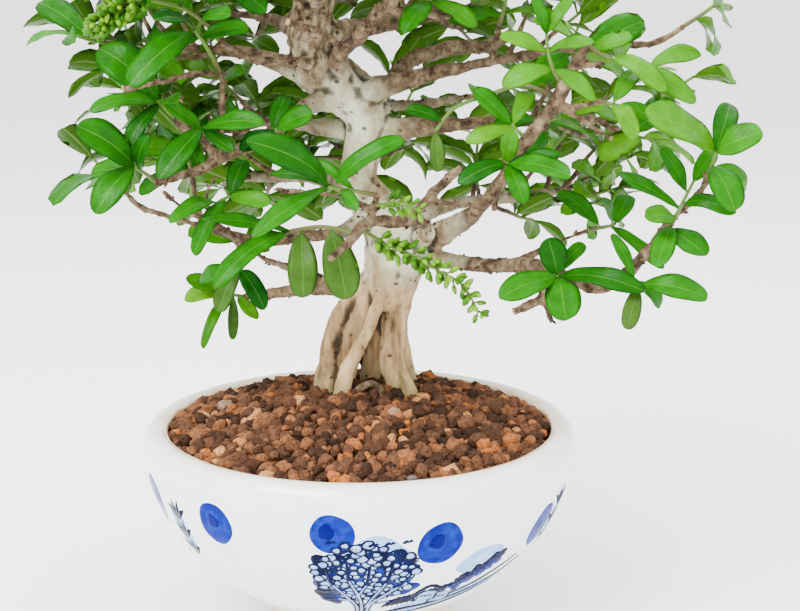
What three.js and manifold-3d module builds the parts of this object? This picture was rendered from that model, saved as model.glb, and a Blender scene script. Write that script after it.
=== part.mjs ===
// A privet bonsai in a round, blue-and-white porcelain bowl, in millimetres with +Z up.
// Points are written as x and y from the bowl's axis and z above the surface that the bowl stands on.
// The finished group is moved so that the middle of its outline stands over the origin.
import * as THREE from "three";
import { mergeVertices } from "three/addons/utils/BufferGeometryUtils.js";
import Module from "manifold-3d";

const wasm = await Module();
wasm.setup();

// Bowl: a thrown bowl 180 across with a rounded lip turned in over the soil, on a foot ring.
const bowlSides = 28;
const footRadius = 39.5;
const footInside = 33.5;
const footHeight = 4.5;
const floorHeight = 10;
const drainRadius = 6;
const bowlOutside = [
  [footRadius, 0], [37.5, 7.5], [45, 15.5], [61.8, 28], [76.7, 44],
  [86.3, 62], [90, 78], [88.6, 85], [84.2, 87.8], [80.4, 86.6],
];
const bowlFloorRadius = 34;
const bowlInside = [
  [79.8, 84], [83.4, 77], [80.5, 64], [71, 43.5], [56, 25], [38, 12], [bowlFloorRadius, floorHeight],
];

// Clearance kept between pieces that lie against each other, and the least that a shoot may have left.
const gap = 0.3;
const leastGap = 0.27;

// Drainage screen over the hole in the floor.
const screenRadius = 14;
const screenThickness = 0.8;
const screenSides = 12;
const screenHole = 3;
const screenPitch = 5;

// Soil: a low mound of clay grains, with the grains as raised cells. Peaks and corners wander off their
// places by up to these distances, and peaks stand out by a share of the grain height.
const soilRadius = 79.3;
const soilRim = 83.2;
const soilRise = 16;
const soilSteepness = 1.1;
const aboveSoil = 110;
const grainPitch = 12.8;
const grainHeight = 2.6;
const peakWander = 1.2;
const cornerWander = 0.5;
const peakShare = [0.2, 0.7];

// Leaves: a folded, arched blade. The pairs are shares of the blade's length and of half its width.
const bladeThickness = 0.7;
const petioleHalf = 0.6;
const petioleShare = 0.2;
const bladeWide = [0.36, 1];
const bladeShoulder = [0.74, 0.84];
const ribAt = 0.5;
const bladeArch = 0.1;
const bladeFold = 0.2;

// Green stems: radius, how much of it is lost towards the tip, the length of the node that a pair of
// leaves grows from, the least distances between two nodes and from a node to a bend, and how squarely
// a side of the stem must look along a leaf to grow it.
const shootRadius = 0.9;
const shootTaper = 0.3;
const nodeLength = 1.3;
const nodeSpacing = 0.4;
const bendSpacing = 0.8;
const leastFacing = 0.35;
const slideStep = 0.2;
const shortestSpan = 0.5;

// A direction counts as upright when its z share is more than this.
const nearlyUpright = 0.95;
const tiny = 1e-6;

// Every list of stations is x, y, z and radius.
const roots = {
  left: [[-17, 8, 88, 6.4], [-15, 9, 97, 6], [-13, 12, 112, 4.7], [-10, 14, 125, 4.4],
    [-4, 15, 136, 4.6], [5, 15, 145, 5]],
  crossing: [[-8, -6, 90, 4.2], [-7, -4, 99, 3.6], [-5, -2, 110, 3.1], [-1, -1, 118, 3],
    [4, 1, 128, 2.6], [11, 8, 143, 2.8]],
  between: [[-9, 11, 92, 3.4], [-7, 12, 106, 3.1], [-4, 12, 119, 2.9], [0, 13, 129, 3],
    [6, 14, 142, 3.4]],
  rear: [[4, 23, 92, 3], [4, 22, 103, 2.6], [6, 20, 116, 2.6], [8, 16, 138, 3.2]],
  right: [[22, 4, 88, 6.6], [17, 7, 100, 5.6], [13, 9, 113, 5], [14, 11, 123, 5.2], [16, 13, 140, 6.4]],
  backRight: [[22, 28, 90, 5], [19, 24, 102, 4.4], [16, 20, 120, 4], [14, 17, 140, 5]],
  backLeft: [[-12, 30, 91, 4.4], [-7, 25, 104, 3.8], [0, 20, 122, 3.4], [8, 17, 140, 4]],
};

const trunk = [
  [10, 15, 133, 9.5], [12, 15, 142, 11.7], [14, 15, 150, 12.6], [16, 14, 158, 14.6], [14, 14, 165, 13.6],
  [9, 14, 171, 10.6], [4, 15, 178, 8.5], [0, 15, 187, 7.2], [1, 15, 200, 7.2], [3, 15, 210, 8.2],
  [-1, 15, 219, 9.8], [-9, 14, 227, 10.8], [-17, 13, 234, 10.4], [-19, 12, 245, 9], [-18, 12, 258, 7.6],
  [-13, 12, 269, 6], [-6, 12, 280, 4.4], [-2, 13, 288, 3], [1, 14, 294, 1.8],
];

const boughs = {
  elbow: [[17, 14, 158, 10], [25, 9, 161, 8.6], [30, 6, 162, 6.8]],
  rightLow: [[20, 10, 157, 5.4], [33, 4, 155, 3.9], [49, -8, 155, 3.1], [62, -22, 158, 2.9],
    [72, -34, 159, 3], [84, -40, 155, 2.4], [94, -44, 153, 2.3], [103, -46, 159, 2.4],
    [110, -44, 166, 2.3], [117, -42, 172, 2.4]],
  rightLowStub: [[72, -34, 160, 2.2], [72, -36, 148, 2], [61, -40, 143, 1.5]],
  rightLowSpur: [[72, -36, 149, 1.6], [76, -38, 138, 1.2]],
  rightEnd: [[112, -44, 168, 2], [121, -35, 177, 1.6], [130, -45, 190, 1.4], [131, -57, 199, 1.2]],
  rightInner: [[62, -21, 158, 2], [78, -20, 166, 1.4], [92, -21, 172, 1]],
  rearLeftLow: [[2, 16, 143, 4.6], [-9, 24, 139, 3.6], [-25, 40, 135, 2.9], [-42, 52, 130, 2.3],
    [-52, 60, 127, 1.6]],
  rearLeftUp: [[-8, 24, 139, 2.6], [-25, 41, 142, 2.1], [-43, 55, 145, 1.4]],
  leftMid: [[6, 13, 174, 5], [-8, 0, 167, 2.9], [-23, -10, 167, 2.4], [-37, -18, 166, 2.2],
    [-43, -22, 163, 2.2], [-50, -26, 171, 1.6], [-59, -30, 177, 1.6]],
  leftThin: [[-58, -30, 177, 1.2], [-66, -31, 181, 0.9], [-75, -33, 189, 0.8]],
  leftCrooked: [[-57, -29, 176, 1.2], [-58, -32, 188, 1], [-54, -34, 195, 0.9]],
  upperLeft: [[-4, 13, 222, 6], [-23, 0, 217, 3.2], [-37, -8, 206, 2.6], [-48, -14, 202, 2.4],
    [-63, -22, 195, 2], [-69, -25, 194, 1.9], [-78, -28, 192, 2]],
  upperLeftKnob: [[-55, -18, 199, 1.8], [-61, -20, 208, 1.7], [-69, -22, 214, 2.2],
    [-68, -26, 225, 1.2]],
  uprightLeft: [[-53, -17, 200, 1.5], [-53, -18, 212, 1.3], [-52, -22, 233, 1.2]],
  stubLeft: [[-52, -21, 232, 1.4], [-61, -30, 234, 1.3], [-74, -36, 231, 1.2], [-87, -42, 229, 1.1]],
  thinLeft: [[-16, 10, 234, 3], [-22, 0, 236, 2], [-40, -14, 238, 1.7], [-53, -22, 245, 1.3]],
  frontTop: [[-6, 10, 230, 5], [-8, -6, 239, 3.3], [-4, -14, 243, 3.1], [2, -22, 248, 3.1],
    [8, -30, 256, 2.8], [15, -36, 263, 2.5], [20, -40, 271, 2]],
  frontTopStub: [[-5, -14, 242, 1.8], [-14, -30, 250, 1.5], [-25, -42, 254, 1.3]],
  frontTopSpur: [[11, -32, 258, 1.7], [24, -38, 257, 1.4], [35, -44, 256, 1.1]],
  rearRight: [[0, 16, 214, 6], [10, 30, 222, 4], [21, 42, 233, 3.5], [39, 52, 238, 3.1],
    [54, 60, 238, 2.8], [66, 68, 244, 2.2]],
  rearRightLow: [[4, 18, 210, 4], [12, 28, 215, 2.5], [30, 36, 216, 2], [48, 46, 218, 1.4]],
  rightFront: [[29, 7, 163, 6], [45, -12, 176, 3.3], [55, -34, 192, 2.8], [60, -46, 204, 2.7],
    [64, -50, 211, 2.7], [71, -52, 220, 2.7], [75, -54, 227, 2.5], [79, -56, 236, 2.3],
    [86, -58, 249, 1.6]],
  rightFrontSpur: [[81, -56, 239, 1.5], [92, -60, 240, 1.1]],
  rightFrontArm: [[73, -53, 222, 1.6], [90, -58, 226, 1.1]],
  rightFrontPeg: [[75, -53, 224, 1.2], [94, -62, 213, 0.9]],
  rightFrontThin: [[61, -46, 204, 1.2], [55, -48, 197, 1], [52, -50, 184, 0.9]],
  frontCentre: [[25, 8, 162, 5], [28, -14, 170, 2.8], [25, -30, 176, 2.4], [15, -44, 179, 2.4],
    [5, -51, 180, 2.3], [-2, -58, 174, 1.8], [-10, -64, 168, 1.6]],
  frontCentreRight: [[20, -38, 178, 2.3], [27, -46, 188, 2], [34, -52, 196, 1.8], [40, -56, 201, 1.7]],
  frontCentreStub: [[5, -51, 180, 1.8], [7, -54, 186, 1.5], [8, -56, 191, 1.2]],
  frontCentreArm: [[27, -46, 188, 1.2], [36, -51, 187, 1], [50, -55, 187, 0.8]],
  reddish: [[7, -53, 184, 1.2], [-5, -53, 190, 0.9], [-30, -54, 193, 0.8]],
};

// Boughs that carry leafy shoots all along: how many twigs, the first one's turn in degrees, and stations.
const leafyBoughs = {
  leftBack: { twigs: 8, turn: 20, stations:
    [[2, 18, 183, 6], [-20, 45, 183, 3], [-46, 68, 180, 2.4], [-64, 80, 178, 1.6]] },
  back: { twigs: 8, turn: 75, stations:
    [[2, 20, 194, 6], [6, 48, 192, 2.9], [4, 72, 188, 2.3], [2, 90, 186, 1.5]] },
  rightBack: { twigs: 8, turn: 130, stations:
    [[14, 18, 168, 6], [40, 42, 172, 3], [70, 62, 172, 2.4], [92, 74, 174, 1.5]] },
  rightMid: { twigs: 8, turn: 200, stations:
    [[4, 16, 206, 6], [42, 12, 210, 3], [78, 8, 212, 2.3], [104, 4, 212, 1.5]] },
  rightHigh: { twigs: 7, turn: 40, stations:
    [[-2, 12, 222, 6], [40, -4, 234, 2.6], [80, -20, 242, 2], [112, -30, 245, 1.4]] },
  leftHigh: { twigs: 8, turn: 95, stations:
    [[-12, 14, 228, 6], [-46, 16, 238, 2.8], [-72, 18, 240, 2.2], [-90, 18, 240, 1.4]] },
  leftMidBack: { twigs: 8, turn: 150, stations:
    [[0, 17, 206, 5], [-30, 32, 208, 2.6], [-60, 44, 207, 2], [-82, 52, 206, 1.4]] },
  leftBackHigh: { twigs: 7, turn: 10, stations:
    [[-18, 14, 244, 6], [-36, 44, 250, 2.6], [-54, 68, 252, 1.5]] },
  rightBackHigh: { twigs: 7, turn: 65, stations:
    [[-14, 14, 246, 6], [20, 44, 250, 2.6], [46, 68, 252, 1.5]] },
  backHigh: { twigs: 6, turn: 25, stations: [[-16, 16, 256, 5], [-10, 48, 260, 2.4], [-4, 76, 258, 1.5]] },
  frontHigh: { twigs: 6, turn: 80, stations:
    [[-17, 8, 260, 5], [-12, -22, 272, 2.2], [-6, -46, 278, 1.4]] },
  frontLeftHigh: { twigs: 6, turn: 250, stations:
    [[-18, 8, 262, 5], [-44, -16, 272, 2.2], [-68, -34, 276, 1.4]] },
  frontRightHigh: { twigs: 6, turn: 300, stations:
    [[-13, 10, 268, 5], [22, -14, 270, 2.2], [54, -34, 274, 1.4]] },
  topRight: { twigs: 6, turn: 35, stations: [[-8, 12, 276, 4], [24, 16, 281, 2], [50, 20, 283, 1.3]] },
  topLeft: { twigs: 6, turn: 90, stations: [[-9, 12, 276, 4], [-38, 16, 281, 2], [-60, 20, 283, 1.3]] },
  apex: { twigs: 4, turn: 60, stations: [[-4, 13, 282, 3], [4, 8, 287, 1.8], [10, 2, 290, 1.2]] },
  lowLeft: { twigs: 4, turn: 60, stations:
    [[-37, -18, 166, 2], [-62, -14, 172, 1.6], [-86, -8, 178, 1.2]] },
};

// Growth rule: twigs stand off a bough from this share of its length on, each turned against the last.
// Lengths are the least and the most. One twig in `modelledTwig` is made, counted from the bough's tip.
const firstTwigAt = 0.34;
const goldenTurn = 137.5;
const modelledTwig = 4;
const sideTwig = { length: [12, 22], onward: 0.5, sideways: 0.85 };
const tipTwig = { length: [6, 16], onward: 1, sideways: 0.2 };
const upwardTwig = 0.25;
const twigFlattening = 0.7;
const twigBend = [0.55, 0.12];
const upwardShoot = 0.3;
const shootLength = [15, 24];
const shootTipRise = 1.5;

// Pairs of leaves as a share along the shoot, a size, and how far they spread from it in degrees.
const leafPairs = [[0.28, 0.86, [84, 100]], [0.6, 1, [72, 90]], [1, 0.8, [44, 56]]];
const leafLength = [21, 30];
const leafSlimness = [0.4, 0.48];
const leafLift = [-0.12, 0.08];
const pairTurn = 35;

// A blade's top looks for the light, which comes from above and from outside the crown, and for the
// shoots placed one by one from above and from the front. Seeded blades stray from it at random.
const crownAxis = new THREE.Vector3(0, 14, 0);
const lightFromAbove = 0.6;
const lightFromOutside = 0.75;
const lightStray = 0.35;
const frontLight = new THREE.Vector3(0, -0.75, 0.6);
const leastLightAngle = 0.2;

// Sides of the round limbs, and the two radii of a twig.
const trunkSides = 8;
const rootSides = 6;
const thickBoughSides = 5;
const boughSides = 4;
const twigSides = 3;
const thickBough = 2.5;
const twigRadii = [1.3, 0.9];

// Shoots placed one by one where the leaves are largest: the stem's points, then each leaf as
// its share along the stem, its tip and its width.
const placedShoots = {
  front_left: { stem: [[8, -56, 191], [0, -59, 193], [-10, -62, 195]], leaves: [
    [1, [-38, -78, 214], 13], [0.9, [18, -64, 213], 8], [1, [-36, -84, 180], 8],
    [0.75, [1, -71, 188], 5], [0.9, [-32, -56, 199], 4], [0.5, [-15, -50, 203], 4]] },
  left_low: { stem: [[-43, -22, 163], [-46, -23, 159], [-47, -23, 156]], leaves: [
    [0.8, [-55, -27, 140], 8], [0.9, [-36, -36, 143], 8], [1, [-64, -13, 150], 8]] },
  left_knob: { stem: [[-59, -30, 177], [-54, -31, 184], [-49, -32, 187]], leaves: [
    [0.9, [-62, -44, 166], 7], [0.95, [-33, -38, 185], 8], [0.5, [-70, -52, 180], 7],
    [1, [-44, -24, 200], 8]] },
  right_rosette: { stem: [[72, -34, 159], [76, -42, 159], [77, -47, 158]], leaves: [
    [1, [54, -62, 153], 11], [0.9, [73, -46, 173], 11], [1, [79, -60, 144], 14],
    [1, [108, -64, 156], 9], [0.7, [88, -36, 169], 6]] },
  right_second: { stem: [[103, -46, 159], [105, -53, 158], [106, -58, 157]], leaves: [
    [1, [131, -66, 154], 10], [0.6, [97, -48, 175], 5], [1, [102, -62, 141], 7],
    [0.5, [116, -50, 147], 6]] },
  right_end: { stem: [[117, -43, 172], [120, -47, 179], [123, -48, 186], [127, -47, 194]], leaves: [
    [0.2, [131, -60, 169], 10], [0.3, [112, -62, 165], 9], [0.45, [108, -58, 183], 9],
    [0.6, [100, -38, 197], 6], [0.7, [140, -66, 186], 8], [1, [136, -40, 206], 7],
    [0.85, [114, -52, 208], 7]] },
  right_inner: { stem: [[92, -21, 172], [97, -22, 173], [101, -23, 174]], leaves: [
    [0.8, [120, -30, 158], 6], [0.4, [80, -6, 184], 8], [1, [108, -12, 184], 8],
    [0.9, [94, -36, 186], 7]] },
  centre_right: { stem: [[60, -47, 203], [57, -53, 203], [56, -58, 203]], leaves: [
    [1, [78, -76, 201], 9], [1, [38, -68, 197], 8], [0.9, [62, -70, 190], 8], [0.8, [58, -62, 216], 7],
    [0.6, [76, -60, 207], 6]] },
  centre_right_upper: { stem: [[64, -50, 211], [61, -52, 214], [58, -52, 217]], leaves: [
    [0.7, [41, -58, 211], 7], [1, [44, -56, 230], 8], [0.9, [66, -42, 228], 7]] },
  arching: { stem: [[75, -54, 227], [63, -48, 231], [50, -42, 227], [37, -44, 222], [30, -47, 214]],
    leaves: [[0.35, [61, -34, 225], 6], [0.6, [44, -56, 231], 6], [0.7, [36, -30, 220], 6],
    [0.9, [19, -46, 222], 6], [1, [31, -51, 199], 6]] },
  upright: { stem: [[77, -55, 231], [73, -57, 237], [71, -57, 243], [70, -57, 250]], leaves: [
    [0.35, [54, -62, 232], 9], [0.35, [86, -73, 228], 7], [0.7, [53, -60, 250], 7],
    [0.7, [86, -69, 248], 6], [1, [65, -60, 264], 5], [1, [79, -54, 263], 5]] },
  right_upper: { stem: [[85, -58, 247], [90, -56, 243], [98, -54, 240], [108, -52, 238]], leaves: [
    [0.5, [112, -70, 231], 8], [0.75, [124, -64, 226], 9], [0.6, [100, -38, 248], 8],
    [1, [128, -48, 243], 8]] },
  right_arm: { stem: [[90, -58, 226], [94, -58, 225], [96, -58, 225]], leaves: [
    [1, [115, -54, 216], 8], [0.8, [101, -74, 214], 8], [0.7, [104, -48, 236], 7]] },
  right_big: { stem: [[131, -57, 199], [132, -59, 203], [133, -60, 208]], leaves: [
    [1, [104, -78, 224], 15], [0.9, [148, -68, 216], 12], [0.5, [138, -74, 188], 12],
    [0.9, [140, -46, 224], 9], [0.4, [146, -52, 192], 9]] },
  left_rosette: { stem: [[-61, -20, 208], [-60, -29, 212], [-58, -38, 214]], leaves: [
    [1, [-73, -54, 197], 11], [1, [-34, -50, 217], 9], [0.8, [-46, -46, 206], 6],
    [0.7, [-72, -42, 224], 7]] },
  left_inner: { stem: [[-37, -8, 206], [-34, -18, 210], [-31, -26, 212]], leaves: [
    [1, [-17, -30, 219], 10], [0.9, [-44, -36, 205], 8], [0.7, [-28, -12, 224], 8]] },
  far_left: { stem: [[-78, -28, 192], [-82, -32, 196], [-85, -36, 199]], leaves: [
    [1, [-104, -48, 216], 14], [1, [-98, -50, 183], 12], [0.8, [-103, -28, 196], 9],
    [0.6, [-78, -44, 212], 7]] },
  upper_left: { stem: [[-69, -23, 215], [-73, -25, 219], [-76, -26, 223]], leaves: [
    [1, [-99, -23, 243], 17], [0.9, [-100, -42, 221], 7], [0.9, [-88, -38, 204], 7],
    [0.6, [-66, -50, 225], 9]] },
  cut_stub: { stem: [[-53, -22, 234], [-56, -33, 243], [-60, -41, 251]], leaves: [
    [1, [-82, -60, 232], 13], [0.8, [-40, -40, 252], 8], [0.9, [-44, -66, 258], 9],
    [1, [-72, -62, 256], 8]] },
  rear_low_left: { stem: [[-52, 60, 127], [-57, 60, 128], [-60, 59, 129]], leaves: [
    [1, [-78, 54, 137], 8], [0.9, [-80, 62, 126], 8], [1, [-70, 42, 108], 5], [0.6, [-58, 54, 109], 5],
    [0.4, [-46, 43, 121], 6]] },
  rear_left_up: { stem: [[-43, 55, 145], [-49, 58, 149], [-55, 60, 152]], leaves: [
    [1, [-78, 66, 156], 10], [0.8, [-60, 38, 158], 10], [0.7, [-42, 72, 160], 10],
    [0.4, [-40, 40, 152], 8]] },
};

// Flower panicles still in bud: the stem's points, where the head starts along it, the head's widest
// radius, its rings of buds, and the leaves at its foot.
const panicles = {
  front: { headFrom: 0.5, headRadius: 4.6, budRings: 10,
    stem: [[-36, -18, 166], [-28, -23, 171], [-14, -33, 175], [-2, -43, 175], [4, -47, 175],
      [13, -53, 171], [22, -56, 168], [31, -59, 163], [40, -61, 158], [46, -62, 148]],
    leaves: [[0.12, [-54, -52, 155], 9], [0.12, [-58, -50, 181], 6], [0.16, [-21, -38, 148], 12],
      [0.26, [-4, -45, 149], 14]] },
  rear: { headFrom: 0.35, headRadius: 3, budRings: 6,
    stem: [[7, -54, 187], [10, -60, 188], [16, -63, 189], [23, -64, 187]],
    leaves: [] },
  left: { headFrom: 0.55, headRadius: 5.4, budRings: 9,
    stem: [[-53, -22, 246], [-57, -27, 252], [-66, -35, 259], [-80, -43, 262], [-88, -47, 259],
      [-95, -51, 252]],
    leaves: [[0.3, [-76, -22, 272], 9], [0.4, [-52, -52, 270], 9]] },
};

// A head of buds starts at this share of its widest radius, swells at this rate and ends at this share.
const budSides = 6;
const budSunken = 0.5;
const headStart = 0.45;
const headSwelling = 4;
const headEnd = 0.25;

const colours = {
  porcelain: new THREE.MeshStandardMaterial({ color: 0xeceff2, roughness: 0.12, metalness: 0 }),
  screen: new THREE.MeshStandardMaterial({ color: 0x2b2e2c, roughness: 0.6, metalness: 0 }),
  soil: new THREE.MeshStandardMaterial({ color: 0x8a4a31, roughness: 0.95, metalness: 0 }),
  bark: new THREE.MeshStandardMaterial({ color: 0xb7a690, roughness: 0.85, metalness: 0 }),
  leaf: new THREE.MeshStandardMaterial({ color: 0x3f8f2e, roughness: 0.4, metalness: 0 }),
  bud: new THREE.MeshStandardMaterial({ color: 0x9cc85a, roughness: 0.5, metalness: 0 }),
};

const up = new THREE.Vector3(0, 0, 1);
const sideways = new THREE.Vector3(1, 0, 0);
const { degToRad } = THREE.MathUtils;

function toVector([x, y, z]) {
  return new THREE.Vector3(x, y, z);
}

function within([least, most], draw) {
  return least + (most - least) * draw();
}

// The direction that turns about a line are measured from.
function reference(along) {
  return (Math.abs(along.z) > nearlyUpright ? sideways : up).clone();
}

// Numbers from 0 to 1 that are the same on every run. The first few draws of a small seed are alike,
// so they are thrown away.
function draws(seed) {
  let state = seed * 7919 + 17;
  const draw = () => {
    state = (state * 48271) % 2147483647;
    return state / 2147483647;
  };
  for (let k = 0; k < 5; k += 1) draw();
  return draw;
}

// Closed meshes into solids and back.
function toSolid(geometry) {
  const plain = geometry.clone();
  for (const name of ["normal", "uv"]) plain.deleteAttribute(name);
  const merged = mergeVertices(plain, 1e-4);
  return new wasm.Manifold(new wasm.Mesh({
    numProp: 3,
    vertProperties: new Float32Array(merged.attributes.position.array),
    triVerts: new Uint32Array(merged.index.array),
  }));
}

function toGeometry(solid) {
  const mesh = solid.getMesh();
  const geometry = new THREE.BufferGeometry();
  geometry.setAttribute("position", new THREE.BufferAttribute(mesh.vertProperties, 3));
  geometry.setIndex(new THREE.BufferAttribute(mesh.triVerts, 1));
  geometry.computeVertexNormals();
  return geometry;
}

function fuse(solids) {
  return solids.reduce((whole, solid) => whole.add(solid));
}

// The one body that holds nearly all of a solid, without loose scraps.
function largestBody(solid) {
  const bodies = solid.decompose();
  return bodies.reduce((largest, body) => (body.volume() > largest.volume() ? body : largest));
}

function polygon(radius, sides) {
  return Array.from({ length: sides }, (unused, k) => {
    const angle = (2 * Math.PI * k) / sides;
    return new THREE.Vector2(radius * Math.cos(angle), radius * Math.sin(angle));
  });
}

function lathe(profile, sides) {
  const points = profile.map(([radius, height]) => new THREE.Vector2(radius, height));
  const geometry = new THREE.LatheGeometry(points, sides);
  geometry.rotateX(Math.PI / 2);
  return geometry;
}

function meshOf(points, triangles) {
  const geometry = new THREE.BufferGeometry();
  const numbers = points.flatMap((point) => point.toArray());
  geometry.setAttribute("position", new THREE.Float32BufferAttribute(numbers, 3));
  geometry.setIndex(triangles.flat());
  return geometry;
}

// A surface patch made into a slab: each point gets a partner moved by `shift`, and every edge that
// has only one triangle gets a wall.
function slab(points, triangles, shift) {
  const count = points.length;
  const all = [...points, ...points.map((point) => shift(point))];
  const faces = [...triangles];
  const edges = new Map();
  for (const [a, b, c] of triangles) {
    faces.push([c + count, b + count, a + count]);
    for (const [from, to] of [[a, b], [b, c], [c, a]]) {
      if (edges.has(`${to}_${from}`)) edges.delete(`${to}_${from}`);
      else edges.set(`${from}_${to}`, [from, to]);
    }
  }
  for (const [from, to] of edges.values()) {
    faces.push([to, from, from + count], [to, from + count, to + count]);
  }
  return meshOf(all, faces);
}

// At each point of a path, its direction and two directions square to it that turn as little as they can.
function framesAlong(centres) {
  const last = centres.length - 1;
  let normal = reference(centres[1].clone().sub(centres[0]).normalize());
  return centres.map((centre, k) => {
    const along = centres[Math.min(k + 1, last)].clone().sub(centres[Math.max(k - 1, 0)]).normalize();
    normal = normal.clone().addScaledVector(along, -normal.dot(along)).normalize();
    return { along, normal, across: along.clone().cross(normal) };
  });
}

// A tapered limb: a straight prism of one unit radius, bent so that its rings stand on the stations.
function limb(stations, sides, relief = () => 1) {
  const spans = stations.length - 1;
  const section = new THREE.Shape(polygon(1, sides));
  const geometry = new THREE.ExtrudeGeometry(section, { depth: 1, steps: spans, bevelEnabled: false });
  const centres = stations.map(toVector);
  const frames = framesAlong(centres);
  const position = geometry.attributes.position;
  for (let k = 0; k < position.count; k += 1) {
    const ring = Math.round(position.getZ(k) * spans);
    const turn = Math.atan2(position.getY(k), position.getX(k)) / (2 * Math.PI);
    const side = Math.round(turn * sides + sides) % sides;
    const radius = stations[ring][3] * relief(ring, side);
    const point = centres[ring].clone()
      .addScaledVector(frames[ring].normal, position.getX(k) * radius)
      .addScaledVector(frames[ring].across, position.getY(k) * radius);
    position.setXYZ(k, point.x, point.y, point.z);
  }
  return toSolid(geometry);
}

// A limb's stations, thicker by `extra` and longer by it at both ends.
function grown(stations, extra) {
  const centres = stations.map(toVector);
  const last = centres.length - 1;
  const outwardAt = new Map([[0, 1], [last, last - 1]].map(([end, inner]) => (
    [end, centres[end].clone().sub(centres[inner]).normalize()])));
  return stations.map(([, , , radius], k) => {
    const centre = centres[k].clone().addScaledVector(outwardAt.get(k) ?? up, outwardAt.has(k) ? extra : 0);
    return [...centre.toArray(), radius + extra];
  });
}

// The point a share of the way along a list of points, counted in spans, and the direction there.
function alongPath(points, share) {
  const spans = points.length - 1;
  const span = Math.min(Math.floor(share * spans), spans - 1);
  const from = toVector(points[span]);
  const to = toVector(points[span + 1]);
  return { point: from.clone().lerp(to, share * spans - span), along: to.sub(from).normalize() };
}

function bowl() {
  const underside = [
    [drainRadius, floorHeight], [drainRadius, footHeight], [footInside - 1, footHeight], [footInside, 0],
  ];
  return toSolid(lathe([...bowlOutside, ...bowlInside, ...underside, bowlOutside[0]], bowlSides));
}

function drainageScreen() {
  const plate = new THREE.ExtrudeGeometry(new THREE.Shape(polygon(screenRadius, screenSides)), {
    depth: screenThickness, bevelEnabled: false,
  });
  plate.translate(0, 0, floorHeight + gap);
  let screen = toSolid(plate);
  for (const column of [-0.5, 0.5]) {
    for (const row of [-1, 0, 1]) {
      const hole = new THREE.BoxGeometry(screenHole, screenHole, 4 * screenThickness);
      hole.translate(column * screenPitch, row * screenPitch, floorHeight + gap + screenThickness / 2);
      screen = screen.subtract(toSolid(hole));
    }
  }
  return screen;
}

function soilHeight(x, y) {
  const inward = Math.max(0, 1 - (x * x + y * y) / (soilRadius * soilRadius));
  return soilRim + soilRise * inward ** soilSteepness;
}

// Six-sided cells, each raised to an off-centre peak and sharing sunken corners with its neighbours.
function soilRelief() {
  const draw = draws(3);
  const points = [];
  const corners = new Map();
  const triangles = [];
  const addPoint = (x, y, wander, above) => {
    const [movedX, movedY] = [x, y].map((value) => value + within([-wander, wander], draw));
    points.push(new THREE.Vector3(movedX, movedY, soilHeight(movedX, movedY) + above));
    return points.length - 1;
  };
  const corner = (x, y) => {
    const key = `${Math.round(x * 10)}_${Math.round(y * 10)}`;
    if (!corners.has(key)) corners.set(key, addPoint(x, y, cornerWander, -grainHeight / 2));
    return corners.get(key);
  };
  const reach = Math.ceil(soilRadius / grainPitch) + 2;
  const cellRadius = grainPitch / Math.sqrt(3);
  for (let row = -reach; row <= reach; row += 1) {
    for (let column = -reach; column <= reach; column += 1) {
      const x = grainPitch * (column + 0.5 * Math.abs(row % 2));
      const y = grainPitch * row * Math.sqrt(0.75);
      if (Math.hypot(x, y) > soilRadius + grainPitch) continue;
      const peak = addPoint(x, y, peakWander, grainHeight * within(peakShare, draw));
      const ring = Array.from({ length: 6 }, (unused, k) => {
        const angle = ((k + 0.5) * Math.PI) / 3;
        return corner(x + cellRadius * Math.cos(angle), y + cellRadius * Math.sin(angle));
      });
      ring.forEach((from, k) => triangles.push([peak, from, ring[(k + 1) % 6]]));
    }
  }
  return toSolid(slab(points, triangles, (point) => new THREE.Vector3(point.x, point.y, 0)));
}

// The relief, cut to the room inside the bowl and over the screen, with a hole for each root.
function soil() {
  const floor = floorHeight + gap;
  const recess = screenRadius + gap;
  const overScreen = floor + screenThickness + gap;
  const wall = [5, 3, 1].map((row) => [bowlInside[row][0] - 1.2 * gap, bowlInside[row][1] + gap / 2]);
  const inside = lathe([
    [0, overScreen], [recess, overScreen], [recess, floor], [bowlFloorRadius - 1, floor],
    ...wall, [soilRadius, bowlInside[0][1] - gap], [soilRadius, aboveSoil], [0, aboveSoil],
  ], bowlSides);
  const holes = Object.values(roots).map((stations) => limb(grown(stations, gap), rootSides));
  return soilRelief().intersect(toSolid(inside)).subtract(fuse(holes));
}

// One twig of a leafy bough with the shoot that grows on from it, worked out from its own seed.
function twigAndShoot(bough, boughIndex, twigIndex) {
  const draw = draws(100 * boughIndex + twigIndex + 1);
  const share = firstTwigAt + ((1 - firstTwigAt) * (twigIndex + 1)) / bough.twigs;
  const { point, along } = alongPath(bough.stations, share);
  const turn = degToRad(bough.turn + goldenTurn * twigIndex);
  const level = along.clone().cross(up).normalize();
  const over = level.clone().cross(along);
  const side = level.multiplyScalar(Math.cos(turn)).addScaledVector(over, twigFlattening * Math.sin(turn));
  const habit = twigIndex === bough.twigs - 1 ? tipTwig : sideTwig;
  const direction = along.clone().multiplyScalar(habit.onward).addScaledVector(side, habit.sideways)
    .addScaledVector(up, upwardTwig).normalize();
  const length = within(habit.length, draw);
  const [bendAt, tipRise] = twigBend;
  const bend = point.clone().addScaledVector(direction, bendAt * length);
  const end = point.clone().addScaledVector(direction, length).addScaledVector(up, tipRise * length);
  const onward = direction.clone().addScaledVector(up, upwardShoot * draw()).normalize();
  const reach = within(shootLength, draw);
  const halfway = end.clone().addScaledVector(onward, reach / 2);
  const tip = end.clone().addScaledVector(onward, reach).addScaledVector(up, shootTipRise);
  return { twig: [point, bend, end], stem: [end, halfway, tip], draw };
}

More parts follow.
